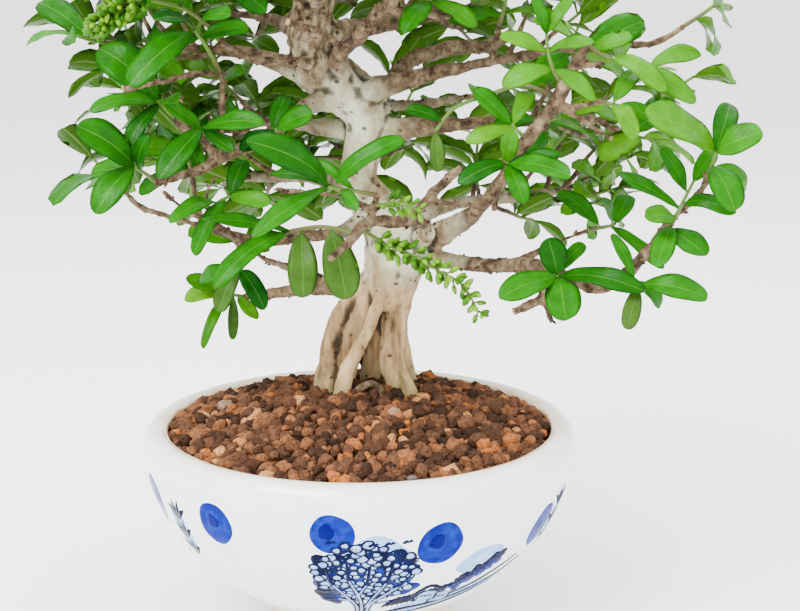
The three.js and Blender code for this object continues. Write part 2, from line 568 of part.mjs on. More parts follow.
// Where the light comes from at a point of the crown.
function strayLight(point, draw) {
  const outward = point.clone().sub(crownAxis).setZ(0).normalize();
  const stray = [draw, draw, draw].map((next) => lightStray * within([-1, 1], next));
  return outward.multiplyScalar(lightFromOutside).addScaledVector(up, lightFromAbove).add(toVector(stray));
}

// Pairs of leaves along a shoot, each pair turned against the last, and bent to lie nearly level.
// The first pair has one leaf.
function shootLeaves(stem, draw) {
  const leaves = [];
  const start = 360 * draw();
  leafPairs.forEach(([share, size, spreads], pairIndex) => {
    const { point, along } = alongPath(stem, share);
    const level = along.clone().cross(up).normalize();
    const over = level.clone().cross(along);
    const turn = degToRad(pairTurn * Math.sin(degToRad(start + 90 * pairIndex)));
    for (const sign of pairIndex === 0 ? [1] : [1, -1]) {
      const outward = level.clone().multiplyScalar(sign * Math.cos(turn))
        .addScaledVector(over, Math.sin(turn));
      const spread = degToRad(within(spreads, draw));
      const direction = along.clone().multiplyScalar(Math.cos(spread))
        .addScaledVector(outward, Math.sin(spread)).addScaledVector(up, within(leafLift, draw)).normalize();
      const length = size * within(leafLength, draw);
      const tip = point.clone().addScaledVector(direction, length);
      const width = length * within(leafSlimness, draw);
      leaves.push({ share, base: point, tip, width, light: strayLight(point, draw) });
    }
  });
  return leaves;
}

// A blade's points: a folded, arched surface from base to tip, and the corners of its petiole.
function bladeSurface({ base, tip, width, light }, from = 0) {
  const reach = tip.clone().sub(base);
  const length = reach.length();
  const along = reach.normalize();
  const turned = along.clone().cross(light);
  const level = along.clone().cross(reference(along));
  const across = (turned.length() < leastLightAngle ? level : turned).normalize();
  const facing = across.clone().cross(along);
  const at = (share, side) => base.clone()
    .addScaledVector(along, share * length)
    .addScaledVector(across, side)
    .addScaledVector(facing, 4 * bladeArch * length * share * (1 - share) + bladeFold * Math.abs(side));
  const half = width / 2;
  const [wideAt, wide] = bladeWide;
  const [shoulderAt, shoulder] = bladeShoulder;
  const points = [
    at(from, petioleHalf), at(from, -petioleHalf),
    at(wideAt, -wide * half), at(shoulderAt, -shoulder * half),
    at(1, 0),
    at(shoulderAt, shoulder * half), at(wideAt, wide * half),
    at(ribAt, 0),
  ];
  return { points, under: (point) => point.clone().addScaledVector(facing, -bladeThickness) };
}
const bladeRim = [0, 6, 5, 4, 3, 2, 1];
const bladeTriangles = bladeRim.map((corner, k) => [corner, bladeRim[(k + 1) % bladeRim.length], 7]);

function bladeSolid(leaf, from) {
  const { points, under } = bladeSurface(leaf, from);
  return toSolid(slab(points, bladeTriangles, under));
}

function boxesMeet(one, other) {
  return [0, 1, 2].every((axis) => (
    one.min[axis] - gap < other.max[axis] && other.min[axis] - gap < one.max[axis]));
}

function isClear(solid, placed) {
  const box = solid.boundingBox();
  return placed.every((other) => (
    !boxesMeet(box, other.box) || solid.minGap(other.solid, 2 * gap) >= leastGap));
}

// Where the nodes of a stem end, as distances from its foot. Leaves are taken tip first, so a node that
// would crowd the next one is pushed back down the stem.
function nodeEnds(shares, total, distanceOf) {
  const ends = new Map();
  let free = total;
  for (const share of [...new Set(shares)].sort((a, b) => b - a)) {
    const end = Math.min(distanceOf(share) + nodeLength / 2, free);
    ends.set(share, end);
    free = end - nodeLength - nodeSpacing;
  }
  return ends;
}

// A four-sided stem in rings, with a short span at each node.
function stemRings(points, radius, shares) {
  const lengths = points.slice(1).map((point, k) => point.distanceTo(points[k]));
  const starts = lengths.map((unused, k) => lengths.slice(0, k).reduce((sum, length) => sum + length, 0));
  const total = starts.at(-1) + lengths.at(-1);
  const distanceOf = (share) => {
    const spans = share * lengths.length;
    const span = Math.min(Math.floor(spans), lengths.length - 1);
    return starts[span] + (spans - span) * lengths[span];
  };
  const pointAt = (distance) => {
    const span = Math.max(0, starts.findLastIndex((start) => distance >= start - tiny));
    return points[span].clone().lerp(points[span + 1], (distance - starts[span]) / lengths[span]);
  };
  const ends = nodeEnds(shares, total, distanceOf);
  const stops = [0, total, ...[...ends.values()].flatMap((end) => [end - nodeLength, end])];
  for (const bend of starts.slice(1)) {
    const isFree = [...ends.values()].every((end) => (
      bend > end + bendSpacing || bend < end - nodeLength - bendSpacing));
    if (isFree) stops.push(bend);
  }
  stops.sort((a, b) => a - b);
  const ordered = stops.filter((stop, k) => k === 0 || stop - stops[k - 1] > tiny);
  const centres = ordered.map(pointAt);
  const rings = framesAlong(centres).map(({ along, normal, across }, k) => {
    const thick = radius * (1 - shootTaper * (ordered[k] / total));
    const corners = [45, 135, 225, 315].map((degrees) => {
      const angle = degToRad(degrees);
      return centres[k].clone()
        .addScaledVector(normal, thick * Math.cos(angle))
        .addScaledVector(across, thick * Math.sin(angle));
    });
    return { corners, along, faces: [across, normal.clone().negate(), across.clone().negate(), normal] };
  });
  const spanOf = new Map([...ends].map(([share, end]) => (
    [share, ordered.findIndex((stop) => Math.abs(stop - end) < tiny) - 1])));
  return { rings, spanOf };
}

// The stem and its blades as one closed mesh: each blade grows out of the side of a node's span, or out
// of the stem's end, in place of that face.
function shootMesh({ rings, spanOf }, leaves) {
  const vertices = rings.flatMap((ring) => ring.corners);
  const last = rings.length - 1;
  const triangles = [];
  const hosts = new Map();
  const unhosted = [];
  for (const leaf of leaves) {
    const span = spanOf.get(leaf.share);
    const toward = leaf.tip.clone().sub(leaf.base).normalize();
    const sides = rings[span].faces.map((face, side) => (
      { key: `${span}_${side}`, match: face.dot(toward) }));
    if (span === last - 1) sides.push({ key: "end", match: rings[last].along.dot(toward) });
    const best = sides.filter(({ key }) => !hosts.has(key)).sort((a, b) => b.match - a.match)[0];
    if (best && best.match > leastFacing) hosts.set(best.key, leaf);
    else unhosted.push(leaf);
  }
  const close = (key, quad) => {
    if (!hosts.has(key)) {
      triangles.push([quad[0], quad[1], quad[2]], [quad[0], quad[2], quad[3]]);
      return;
    }
    growBlade(vertices, triangles, quad, hosts.get(key));
  };
  triangles.push([0, 3, 2], [0, 2, 1]);
  for (let span = 0; span < last; span += 1) {
    for (let side = 0; side < 4; side += 1) {
      const [a, b] = [4 * span + side, 4 * span + ((side + 1) % 4)];
      close(`${span}_${side}`, [a, b, b + 4, a + 4]);
    }
  }
  close("end", [0, 1, 2, 3].map((side) => 4 * last + side));
  return { solid: toSolid(meshOf(vertices, triangles)), unhosted };
}

// Joins a blade to the four corners of the face that it grows from, turned so that they twist least.
function growBlade(vertices, triangles, quad, leaf) {
  const foot = new THREE.Box3().setFromPoints(quad.map((corner) => vertices[corner]))
    .getCenter(new THREE.Vector3());
  const { points, under } = bladeSurface({ ...leaf, base: foot });
  const ideal = [points[0], under(points[0]), under(points[1]), points[1]];
  const twist = (turn) => quad.reduce((sum, corner, k) => (
    sum + vertices[corner].distanceToSquared(ideal[(k + turn) % 4])), 0);
  const turn = [0, 1, 2, 3].reduce((best, candidate) => (
    twist(candidate) < twist(best) ? candidate : best));
  const corners = ideal.map((unused, k) => quad[(k - turn + 4) % 4]);
  const top = [corners[0], corners[3]];
  const below = [corners[1], corners[2]];
  points.slice(2).forEach((point) => {
    top.push(vertices.length);
    vertices.push(point);
    below.push(vertices.length);
    vertices.push(under(point));
  });
  for (const [a, b, c] of bladeTriangles) {
    triangles.push([top[a], top[b], top[c]], [below[c], below[b], below[a]]);
  }
  bladeRim.slice(1).forEach((to, k) => {
    const from = bladeRim[k];
    triangles.push([top[to], top[from], below[from]], [top[to], below[from], below[to]]);
  });
}

// A shoot that starts just clear of the wood it grows from, with those of its leaves that stand clear
// of everything already placed and of each other. A blade that fits no side of its node is fused on.
function spray(stemPoints, leaves, placed) {
  const first = stemPoints[1].clone().sub(stemPoints[0]);
  const span = first.length();
  for (let slide = gap; slide < span - shortestSpan; slide += slideStep) {
    const points = [stemPoints[0].clone().addScaledVector(first, slide / span), ...stemPoints.slice(1)];
    const layout = stemRings(points, shootRadius, leaves.map((leaf) => leaf.share));
    const { solid: bare } = shootMesh(layout, []);
    if (!isClear(bare, placed)) continue;
    const kept = [];
    for (const leaf of leaves) {
      const whole = bladeSolid(leaf, 0);
      const outer = bladeSolid(leaf, petioleShare);
      const isFree = outer.minGap(bare, gap) > gap / 3 && kept.every((other) => (
        outer.minGap(other.whole, gap) > gap / 3 && whole.minGap(other.outer, gap) > gap / 3));
      if (isFree && isClear(whole, placed)) kept.push({ leaf, whole, outer });
    }
    const { solid, unhosted } = shootMesh(layout, kept.map(({ leaf }) => leaf));
    return largestBody(fuse([solid, ...unhosted.map((leaf) => bladeSolid(leaf, 0))]));
  }
  return null;
}

// A head of buds round the end of the flowering stem: a tapered body whose corners stand out by turns.
function panicleHead({ stem, headFrom, headRadius, budRings }) {
  const stations = Array.from({ length: budRings + 1 }, (unused, k) => {
    const share = k / budRings;
    const { point } = alongPath(stem, headFrom + (1 - headFrom) * share);
    const swelling = Math.min(1, headStart + headSwelling * share) * (1 - (1 - headEnd) * share);
    return [point.x, point.y, point.z, headRadius * swelling];
  });
  return limb(stations, budSides, (ring, side) => ((ring + side) % 2 === 0 ? 1 : budSunken));
}

// Everything is gathered here: name, solid or geometry, and colour.
const pieces = [];
const placed = [];

function place(name, solid, colour) {
  pieces.push({ name, geometry: toGeometry(solid), colour });
  placed.push({ solid, box: solid.boundingBox() });
}

const plannedShoots = [];
const twigs = [];
Object.entries(leafyBoughs).forEach(([name, bough], boughIndex) => {
  for (let twigIndex = 0; twigIndex < bough.twigs; twigIndex += 1) {
    if ((bough.twigs - 1 - twigIndex) % modelledTwig !== 0) continue;
    const { twig, stem, draw } = twigAndShoot(bough, boughIndex, twigIndex);
    twigs.push([twig[0], twig[2]].map((point, k) => [...point.toArray(), twigRadii[k]]));
    plannedShoots.push({ name: `spray_${name}_${twigIndex + 1}`, stem, leaves: shootLeaves(stem, draw) });
  }
});

const wood = [
  limb(trunk, trunkSides),
  ...Object.values(roots).map((stations) => limb(stations, rootSides)),
  ...Object.values(boughs).map((stations) => (
    limb(stations, stations[0][3] > thickBough ? thickBoughSides : boughSides))),
  ...Object.values(leafyBoughs).map(({ stations }) => limb(stations, boughSides)),
  ...twigs.map((stations) => limb(stations, twigSides)),
];

place("bowl", bowl(), "porcelain");
place("drainage_screen", drainageScreen(), "screen");
place("soil", soil(), "soil");
place("tree", largestBody(fuse(wood)), "bark");

function placedLeaves({ stem, leaves }) {
  return leaves.map(([share, tip, width]) => (
    { share, base: alongPath(stem, share).point, tip: toVector(tip), width, light: frontLight }));
}

Object.entries(panicles).forEach(([name, panicle]) => {
  const shoot = spray(panicle.stem.map(toVector), placedLeaves(panicle), placed);
  place(`panicle_${name}`, shoot.add(panicleHead(panicle)), "bud");
});

Object.entries(placedShoots).forEach(([name, shoot]) => {
  place(`shoot_${name}`, spray(shoot.stem.map(toVector), placedLeaves(shoot), placed), "leaf");
});

plannedShoots.forEach(({ name, stem, leaves }) => {
  const solid = spray(stem, leaves, placed);
  if (solid !== null) place(name, solid, "leaf");
});

const group = new THREE.Group();
for (const { name, geometry, colour } of pieces) {
  const mesh = new THREE.Mesh(geometry, colours[colour]);
  mesh.name = name;
  group.add(mesh);
}
const outline = new THREE.Box3().setFromObject(group);
const middle = outline.getCenter(new THREE.Vector3());
group.position.set(-middle.x, -middle.y, 0);

export default group;
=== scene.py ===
import bpy
import mathutils
import numpy as np
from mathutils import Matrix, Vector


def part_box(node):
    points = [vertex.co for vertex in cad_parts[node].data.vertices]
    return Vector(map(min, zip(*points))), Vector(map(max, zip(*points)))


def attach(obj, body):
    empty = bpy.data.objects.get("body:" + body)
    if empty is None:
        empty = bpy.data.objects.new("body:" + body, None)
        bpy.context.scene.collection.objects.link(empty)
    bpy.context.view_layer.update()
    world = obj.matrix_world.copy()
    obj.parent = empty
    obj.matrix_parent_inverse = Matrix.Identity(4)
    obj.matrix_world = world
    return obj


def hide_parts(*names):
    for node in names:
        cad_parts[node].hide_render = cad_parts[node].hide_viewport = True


# Looks of a privet bonsai in a round, blue-and-white porcelain bowl, built around its CAD model.
# Lengths are in millimetres from the bowl's axis, with z above the surface that the bowl stands on.
# Pieces are moved to the model's own frame, in metres, when their meshes are made.
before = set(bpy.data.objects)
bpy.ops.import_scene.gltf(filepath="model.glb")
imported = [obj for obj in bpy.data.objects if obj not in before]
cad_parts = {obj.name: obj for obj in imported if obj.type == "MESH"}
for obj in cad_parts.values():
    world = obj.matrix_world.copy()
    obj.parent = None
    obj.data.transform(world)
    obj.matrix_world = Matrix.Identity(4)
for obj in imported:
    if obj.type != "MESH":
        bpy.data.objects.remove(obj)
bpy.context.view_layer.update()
BOWL_LOW, BOWL_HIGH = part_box("bowl")
BOWL_AXIS = np.array([(BOWL_LOW.x + BOWL_HIGH.x) / 2, (BOWL_LOW.y + BOWL_HIGH.y) / 2, 0.0])
MILLIMETRE = 0.001
UP = np.array([0.0, 0.0, 1.0])
SIDEWAYS = np.array([1.0, 0.0, 0.0])
NEARLY_UPRIGHT = 0.95

# Bowl profile as radius and height: outside from the foot to the lip, inside from the lip down.
BOWL_OUTSIDE = [(39.5, 0), (37.5, 7.5), (45, 15.5), (61.8, 28), (76.7, 44), (86.3, 62), (90, 78),
    (88.6, 85), (84.2, 87.8), (80.4, 86.6)]
BOWL_INSIDE = [(79.8, 84), (83.4, 77), (80.5, 64), (71, 43.5), (56, 25), (38, 12), (34, 10)]
BOWL_UNDERSIDE = [(6, 10), (6, 4.5), (32.5, 4.5), (33.5, 0)]

# Soil mound: its height at the rim and how far it rises to the middle.
SOIL_RADIUS = 79.3
SOIL_RIM = 83.2
SOIL_RISE = 16
SOIL_STEEPNESS = 1.1

# Leaves.
BLADE_THICKNESS = 0.36
PETIOLE_HALF = 0.5
BLADE_ARCH = 0.1
BLADE_FOLD = 0.2

# Wood: every station of a root or bough is x, y, z and radius.
ROOTS = {
    "left": [(-17, 8, 88, 6.4), (-15, 9, 97, 6), (-13, 12, 112, 4.7), (-10, 14, 125, 4.4),
        (-4, 15, 136, 4.6), (5, 15, 145, 5)],
    "crossing": [(-8, -6, 90, 4.2), (-7, -4, 99, 3.6), (-5, -2, 110, 3.1), (-1, -1, 118, 3),
        (4, 1, 128, 2.6), (11, 8, 143, 2.8)],
    "between": [(-9, 11, 92, 3.4), (-7, 12, 106, 3.1), (-4, 12, 119, 2.9), (0, 13, 129, 3),
        (6, 14, 142, 3.4)],
    "rear": [(4, 23, 92, 3), (4, 22, 103, 2.6), (6, 20, 116, 2.6), (8, 16, 138, 3.2)],
    "right": [(22, 4, 88, 6.6), (17, 7, 100, 5.6), (13, 9, 113, 5), (14, 11, 123, 5.2),
        (16, 13, 140, 6.4)],
    "back_right": [(22, 28, 90, 5), (19, 24, 102, 4.4), (16, 20, 120, 4), (14, 17, 140, 5)],
    "back_left": [(-12, 30, 91, 4.4), (-7, 25, 104, 3.8), (0, 20, 122, 3.4), (8, 17, 140, 4)],
}
TRUNK = [(10, 15, 133, 9.5), (12, 15, 142, 11.7), (14, 15, 150, 12.6), (16, 14, 158, 14.6),
    (14, 14, 165, 13.6), (9, 14, 171, 10.6), (4, 15, 178, 8.5), (0, 15, 187, 7.2), (1, 15, 200, 7.2),
    (3, 15, 210, 8.2), (-1, 15, 219, 9.8), (-9, 14, 227, 10.8), (-17, 13, 234, 10.4), (-19, 12, 245, 9),
    (-18, 12, 258, 7.6), (-13, 12, 269, 6), (-6, 12, 280, 4.4), (-2, 13, 288, 3), (1, 14, 294, 1.8)]
BOUGHS = {
    "elbow": [(17, 14, 158, 10), (25, 9, 161, 8.6), (30, 6, 162, 6.8)],
    "right_low": [(20, 10, 157, 5.4), (33, 4, 155, 3.9), (49, -8, 155, 3.1), (62, -22, 158, 2.9),
        (72, -34, 159, 3), (84, -40, 155, 2.4), (94, -44, 153, 2.3), (103, -46, 159, 2.4),
        (110, -44, 166, 2.3), (117, -42, 172, 2.4)],
    "right_low_stub": [(72, -34, 160, 2.2), (72, -36, 148, 2), (61, -40, 143, 1.5)],
    "right_low_spur": [(72, -36, 149, 1.6), (76, -38, 138, 1.2)],
    "right_end": [(112, -44, 168, 2), (121, -35, 177, 1.6), (130, -45, 190, 1.4), (131, -57, 199, 1.2)],
    "right_inner": [(62, -21, 158, 2), (78, -20, 166, 1.4), (92, -21, 172, 1)],
    "rear_left_low": [(2, 16, 143, 4.6), (-9, 24, 139, 3.6), (-25, 40, 135, 2.9), (-42, 52, 130, 2.3),
        (-52, 60, 127, 1.6)],
    "rear_left_up": [(-8, 24, 139, 2.6), (-25, 41, 142, 2.1), (-43, 55, 145, 1.4)],
    "left_mid": [(6, 13, 174, 5), (-8, 0, 167, 2.9), (-23, -10, 167, 2.4), (-37, -18, 166, 2.2),
        (-43, -22, 163, 2.2), (-50, -26, 171, 1.6), (-59, -30, 177, 1.6)],
    "left_thin": [(-58, -30, 177, 1.2), (-66, -31, 181, 0.9), (-75, -33, 189, 0.8)],
    "left_crooked": [(-57, -29, 176, 1.2), (-58, -32, 188, 1), (-54, -34, 195, 0.9)],
    "upper_left": [(-4, 13, 222, 6), (-23, 0, 217, 3.2), (-37, -8, 206, 2.6), (-48, -14, 202, 2.4),
        (-63, -22, 195, 2), (-69, -25, 194, 1.9), (-78, -28, 192, 2)],
    "upper_left_knob": [(-55, -18, 199, 1.8), (-61, -20, 208, 1.7), (-69, -22, 214, 2.2),
        (-68, -26, 225, 1.2)],
    "upright_left": [(-53, -17, 200, 1.5), (-53, -18, 212, 1.3), (-52, -22, 233, 1.2)],
    "stub_left": [(-52, -21, 232, 1.4), (-61, -30, 234, 1.3), (-74, -36, 231, 1.2),
        (-87, -42, 229, 1.1)],
    "thin_left": [(-16, 10, 234, 3), (-22, 0, 236, 2), (-40, -14, 238, 1.7), (-53, -22, 245, 1.3)],
    "front_top": [(-6, 10, 230, 5), (-8, -6, 239, 3.3), (-4, -14, 243, 3.1), (2, -22, 248, 3.1),
        (8, -30, 256, 2.8), (15, -36, 263, 2.5), (20, -40, 271, 2)],
    "front_top_stub": [(-5, -14, 242, 1.8), (-14, -30, 250, 1.5), (-25, -42, 254, 1.3)],
    "front_top_spur": [(11, -32, 258, 1.7), (24, -38, 257, 1.4), (35, -44, 256, 1.1)],
    "rear_right": [(0, 16, 214, 6), (10, 30, 222, 4), (21, 42, 233, 3.5), (39, 52, 238, 3.1),
        (54, 60, 238, 2.8), (66, 68, 244, 2.2)],
    "rear_right_low": [(4, 18, 210, 4), (12, 28, 215, 2.5), (30, 36, 216, 2), (48, 46, 218, 1.4)],
    "right_front": [(29, 7, 163, 6), (45, -12, 176, 3.3), (55, -34, 192, 2.8), (60, -46, 204, 2.7),
        (64, -50, 211, 2.7), (71, -52, 220, 2.7), (75, -54, 227, 2.5), (79, -56, 236, 2.3),
        (86, -58, 249, 1.6)],
    "right_front_spur": [(81, -56, 239, 1.5), (92, -60, 240, 1.1)],
    "right_front_arm": [(73, -53, 222, 1.6), (90, -58, 226, 1.1)],
    "right_front_peg": [(75, -53, 224, 1.2), (94, -62, 213, 0.9)],
    "right_front_thin": [(61, -46, 204, 1.2), (55, -48, 197, 1), (52, -50, 184, 0.9)],
    "front_centre": [(25, 8, 162, 5), (28, -14, 170, 2.8), (25, -30, 176, 2.4), (15, -44, 179, 2.4),
        (5, -51, 180, 2.3), (-2, -58, 174, 1.8), (-10, -64, 168, 1.6)],
    "front_centre_right": [(20, -38, 178, 2.3), (27, -46, 188, 2), (34, -52, 196, 1.8),
        (40, -56, 201, 1.7)],
    "front_centre_stub": [(5, -51, 180, 1.8), (7, -54, 186, 1.5), (8, -56, 191, 1.2)],
    "front_centre_arm": [(27, -46, 188, 1.2), (36, -51, 187, 1), (50, -55, 187, 0.8)],
    "reddish": [(7, -53, 184, 1.2), (-5, -53, 190, 0.9), (-30, -54, 193, 0.8)],
}
# Boughs that bear seeded twigs: how many, the turn of the first in degrees, and stations.
LEAFY_BOUGHS = {
    "leftBack": (8, 20, [(2, 18, 183, 6), (-20, 45, 183, 3), (-46, 68, 180, 2.4), (-64, 80, 178, 1.6)]),
    "back": (8, 75, [(2, 20, 194, 6), (6, 48, 192, 2.9), (4, 72, 188, 2.3), (2, 90, 186, 1.5)]),
    "rightBack": (8, 130, [(14, 18, 168, 6), (40, 42, 172, 3), (70, 62, 172, 2.4), (92, 74, 174, 1.5)]),
    "rightMid": (8, 200, [(4, 16, 206, 6), (42, 12, 210, 3), (78, 8, 212, 2.3), (104, 4, 212, 1.5)]),
    "rightHigh": (7, 40, [(-2, 12, 222, 6), (40, -4, 234, 2.6), (80, -20, 242, 2),
        (112, -30, 245, 1.4)]),
    "leftHigh": (8, 95, [(-12, 14, 228, 6), (-46, 16, 238, 2.8), (-72, 18, 240, 2.2),
        (-90, 18, 240, 1.4)]),
    "leftMidBack": (8, 150, [(0, 17, 206, 5), (-30, 32, 208, 2.6), (-60, 44, 207, 2),
        (-82, 52, 206, 1.4)]),
    "leftBackHigh": (7, 10, [(-18, 14, 244, 6), (-36, 44, 250, 2.6), (-54, 68, 252, 1.5)]),
    "rightBackHigh": (7, 65, [(-14, 14, 246, 6), (20, 44, 250, 2.6), (46, 68, 252, 1.5)]),
    "backHigh": (6, 25, [(-16, 16, 256, 5), (-10, 48, 260, 2.4), (-4, 76, 258, 1.5)]),
    "frontHigh": (6, 80, [(-17, 8, 260, 5), (-12, -22, 272, 2.2), (-6, -46, 278, 1.4)]),
    "frontLeftHigh": (6, 250, [(-18, 8, 262, 5), (-44, -16, 272, 2.2), (-68, -34, 276, 1.4)]),
    "frontRightHigh": (6, 300, [(-13, 10, 268, 5), (22, -14, 270, 2.2), (54, -34, 274, 1.4)]),
    "topRight": (6, 35, [(-8, 12, 276, 4), (24, 16, 281, 2), (50, 20, 283, 1.3)]),
    "topLeft": (6, 90, [(-9, 12, 276, 4), (-38, 16, 281, 2), (-60, 20, 283, 1.3)]),
    "apex": (4, 60, [(-4, 13, 282, 3), (4, 8, 287, 1.8), (10, 2, 290, 1.2)]),
    "lowLeft": (4, 60, [(-37, -18, 166, 2), (-62, -14, 172, 1.6), (-86, -8, 178, 1.2)]),
}
# Shoots placed after the photo: points of the stem, and leaves as share of the stem, tip and width.
PLACED_SHOOTS = {
    "front_left": ([(8, -56, 191), (0, -59, 193), (-10, -62, 195)], [
        (1, (-38, -78, 214), 13), (0.9, (18, -64, 213), 8), (1, (-36, -84, 180), 8),
        (0.75, (1, -71, 188), 5), (0.9, (-32, -56, 199), 4), (0.5, (-15, -50, 203), 4)]),
    "left_low": ([(-43, -22, 163), (-46, -23, 159), (-47, -23, 156)], [
        (0.8, (-55, -27, 140), 8), (0.9, (-36, -36, 143), 8), (1, (-64, -13, 150), 8)]),
    "left_knob": ([(-59, -30, 177), (-54, -31, 184), (-49, -32, 187)], [
        (0.9, (-62, -44, 166), 7), (0.95, (-33, -38, 185), 8), (0.5, (-70, -52, 180), 7),
        (1, (-44, -24, 200), 8)]),
    "right_rosette": ([(72, -34, 159), (76, -42, 159), (77, -47, 158)], [
        (1, (54, -62, 153), 11), (0.9, (73, -46, 173), 11), (1, (79, -60, 144), 14),
        (1, (108, -64, 156), 9), (0.7, (88, -36, 169), 6)]),
    "right_second": ([(103, -46, 159), (105, -53, 158), (106, -58, 157)], [
        (1, (131, -66, 154), 10), (0.6, (97, -48, 175), 5), (1, (102, -62, 141), 7),
        (0.5, (116, -50, 147), 6)]),
    "right_end": ([(117, -43, 172), (120, -47, 179), (123, -48, 186), (127, -47, 194)], [
        (0.2, (131, -60, 169), 10), (0.3, (112, -62, 165), 9), (0.45, (108, -58, 183), 9),
        (0.6, (100, -38, 197), 6), (0.7, (140, -66, 186), 8), (1, (136, -40, 206), 7),
        (0.85, (114, -52, 208), 7)]),
    "right_inner": ([(92, -21, 172), (97, -22, 173), (101, -23, 174)], [
        (0.8, (120, -30, 158), 6), (0.4, (80, -6, 184), 8), (1, (108, -12, 184), 8),
        (0.9, (94, -36, 186), 7)]),
    "centre_right": ([(60, -47, 203), (57, -53, 203), (56, -58, 203)], [
        (1, (78, -76, 201), 9), (1, (38, -68, 197), 8), (0.9, (62, -70, 190), 8),
        (0.8, (58, -62, 216), 7), (0.6, (76, -60, 207), 6)]),
    "centre_right_upper": ([(64, -50, 211), (61, -52, 214), (58, -52, 217)], [
        (0.7, (41, -58, 211), 7), (1, (44, -56, 230), 8), (0.9, (66, -42, 228), 7)]),
    "arching": ([(75, -54, 227), (63, -48, 231), (50, -42, 227), (37, -44, 222), (30, -47, 214)], [
        (0.35, (61, -34, 225), 6), (0.6, (44, -56, 231), 6), (0.7, (36, -30, 220), 6),
        (0.9, (19, -46, 222), 6), (1, (31, -51, 199), 6)]),
    "upright": ([(77, -55, 231), (73, -57, 237), (71, -57, 243), (70, -57, 250)], [
        (0.35, (54, -62, 232), 9), (0.35, (86, -73, 228), 7), (0.7, (53, -60, 250), 7),
        (0.7, (86, -69, 248), 6), (1, (65, -60, 264), 5), (1, (79, -54, 263), 5)]),
    "right_upper": ([(85, -58, 247), (90, -56, 243), (98, -54, 240), (108, -52, 238)], [
        (0.5, (112, -70, 231), 8), (0.75, (124, -64, 226), 9), (0.6, (100, -38, 248), 8),
        (1, (128, -48, 243), 8)]),
    "right_arm": ([(90, -58, 226), (94, -58, 225), (96, -58, 225)], [
        (1, (115, -54, 216), 8), (0.8, (101, -74, 214), 8), (0.7, (104, -48, 236), 7)]),
    "right_big": ([(131, -57, 199), (132, -59, 203), (133, -60, 208)], [
        (1, (104, -78, 224), 15), (0.9, (148, -68, 216), 12), (0.5, (138, -74, 188), 12),
        (0.9, (140, -46, 224), 9), (0.4, (146, -52, 192), 9)]),
    "left_rosette": ([(-61, -20, 208), (-60, -29, 212), (-58, -38, 214)], [
        (1, (-73, -54, 197), 11), (1, (-34, -50, 217), 9), (0.8, (-46, -46, 206), 6),
        (0.7, (-72, -42, 224), 7)]),
    "left_inner": ([(-37, -8, 206), (-34, -18, 210), (-31, -26, 212)], [
        (1, (-17, -30, 219), 10), (0.9, (-44, -36, 205), 8), (0.7, (-28, -12, 224), 8)]),
    "far_left": ([(-78, -28, 192), (-82, -32, 196), (-85, -36, 199)], [
        (1, (-104, -48, 216), 14), (1, (-98, -50, 183), 12), (0.8, (-103, -28, 196), 9),
        (0.6, (-78, -44, 212), 7)]),
    "upper_left": ([(-69, -23, 215), (-73, -25, 219), (-76, -26, 223)], [
        (1, (-99, -23, 243), 17), (0.9, (-100, -42, 221), 7), (0.9, (-88, -38, 204), 7),
        (0.6, (-66, -50, 225), 9)]),
    "cut_stub": ([(-53, -22, 234), (-56, -33, 243), (-60, -41, 251)], [
        (1, (-82, -60, 232), 13), (0.8, (-40, -40, 252), 8), (0.9, (-44, -66, 258), 9),
        (1, (-72, -62, 256), 8)]),
    "rear_low_left": ([(-52, 60, 127), (-57, 60, 128), (-60, 59, 129)], [
        (1, (-78, 54, 137), 8), (0.9, (-80, 62, 126), 8), (1, (-70, 42, 108), 5),
        (0.6, (-58, 54, 109), 5), (0.4, (-46, 43, 121), 6)]),
    "rear_left_up": ([(-43, 55, 145), (-49, 58, 149), (-55, 60, 152)], [
        (1, (-78, 66, 156), 10), (0.8, (-60, 38, 158), 10), (0.7, (-42, 72, 160), 10),
        (0.4, (-40, 40, 152), 8)]),
}
# Flowering stems: where on the stem the head begins, its radius, whorls, stalks in each whorl, buds on each
# stalk, length of a bud, the stem's points, and leaves as on the placed shoots.
PANICLES = {
    "front": {"head_from": 0.5, "head_radius": 4.6, "whorls": 14, "stalks": 3, "buds": 3, "bud_length": 4.6,
        "stem": [(-36, -18, 166), (-28, -23, 171), (-14, -33, 175), (-2, -43, 175), (4, -47, 175),
            (13, -53, 171), (22, -56, 168), (31, -59, 163), (40, -61, 158), (46, -62, 148)],
        "leaves": [(0.12, (-54, -52, 155), 9), (0.12, (-58, -50, 181), 6), (0.16, (-21, -38, 148), 12),
            (0.26, (-4, -45, 149), 14)]},
    "rear": {"head_from": 0.35, "head_radius": 3, "whorls": 10, "stalks": 2, "buds": 1, "bud_length": 5,
        "stem": [(7, -54, 187), (10, -60, 188), (16, -63, 189), (23, -64, 187)],
        "leaves": []},
    "left": {"head_from": 0.55, "head_radius": 5.4, "whorls": 13, "stalks": 3, "buds": 3, "bud_length": 5.6,
        "stem": [(-53, -22, 246), (-57, -27, 252), (-66, -35, 259), (-80, -43, 262), (-88, -47, 259),
            (-95, -51, 252)],
        "leaves": [(0.3, (-76, -22, 272), 9), (0.4, (-52, -52, 270), 9)]},
}

# Growth of the leafy boughs, by the same rule as in the CAD model. Spans are the least and the most.
FIRST_TWIG_AT = 0.34
GOLDEN_TURN = 137.5
SIDE_TWIG = {"length": (12, 22), "onward": 0.5, "sideways": 0.85}
TIP_TWIG = {"length": (6, 16), "onward": 1, "sideways": 0.2}
UPWARD_TWIG = 0.25
TWIG_FLATTENING = 0.7
TWIG_BEND_AT = 0.55
TWIG_TIP_RISE = 0.12
UPWARD_SHOOT = 0.3
SHOOT_LENGTH = (15, 24)
SHOOT_TIP_RISE = 1.5
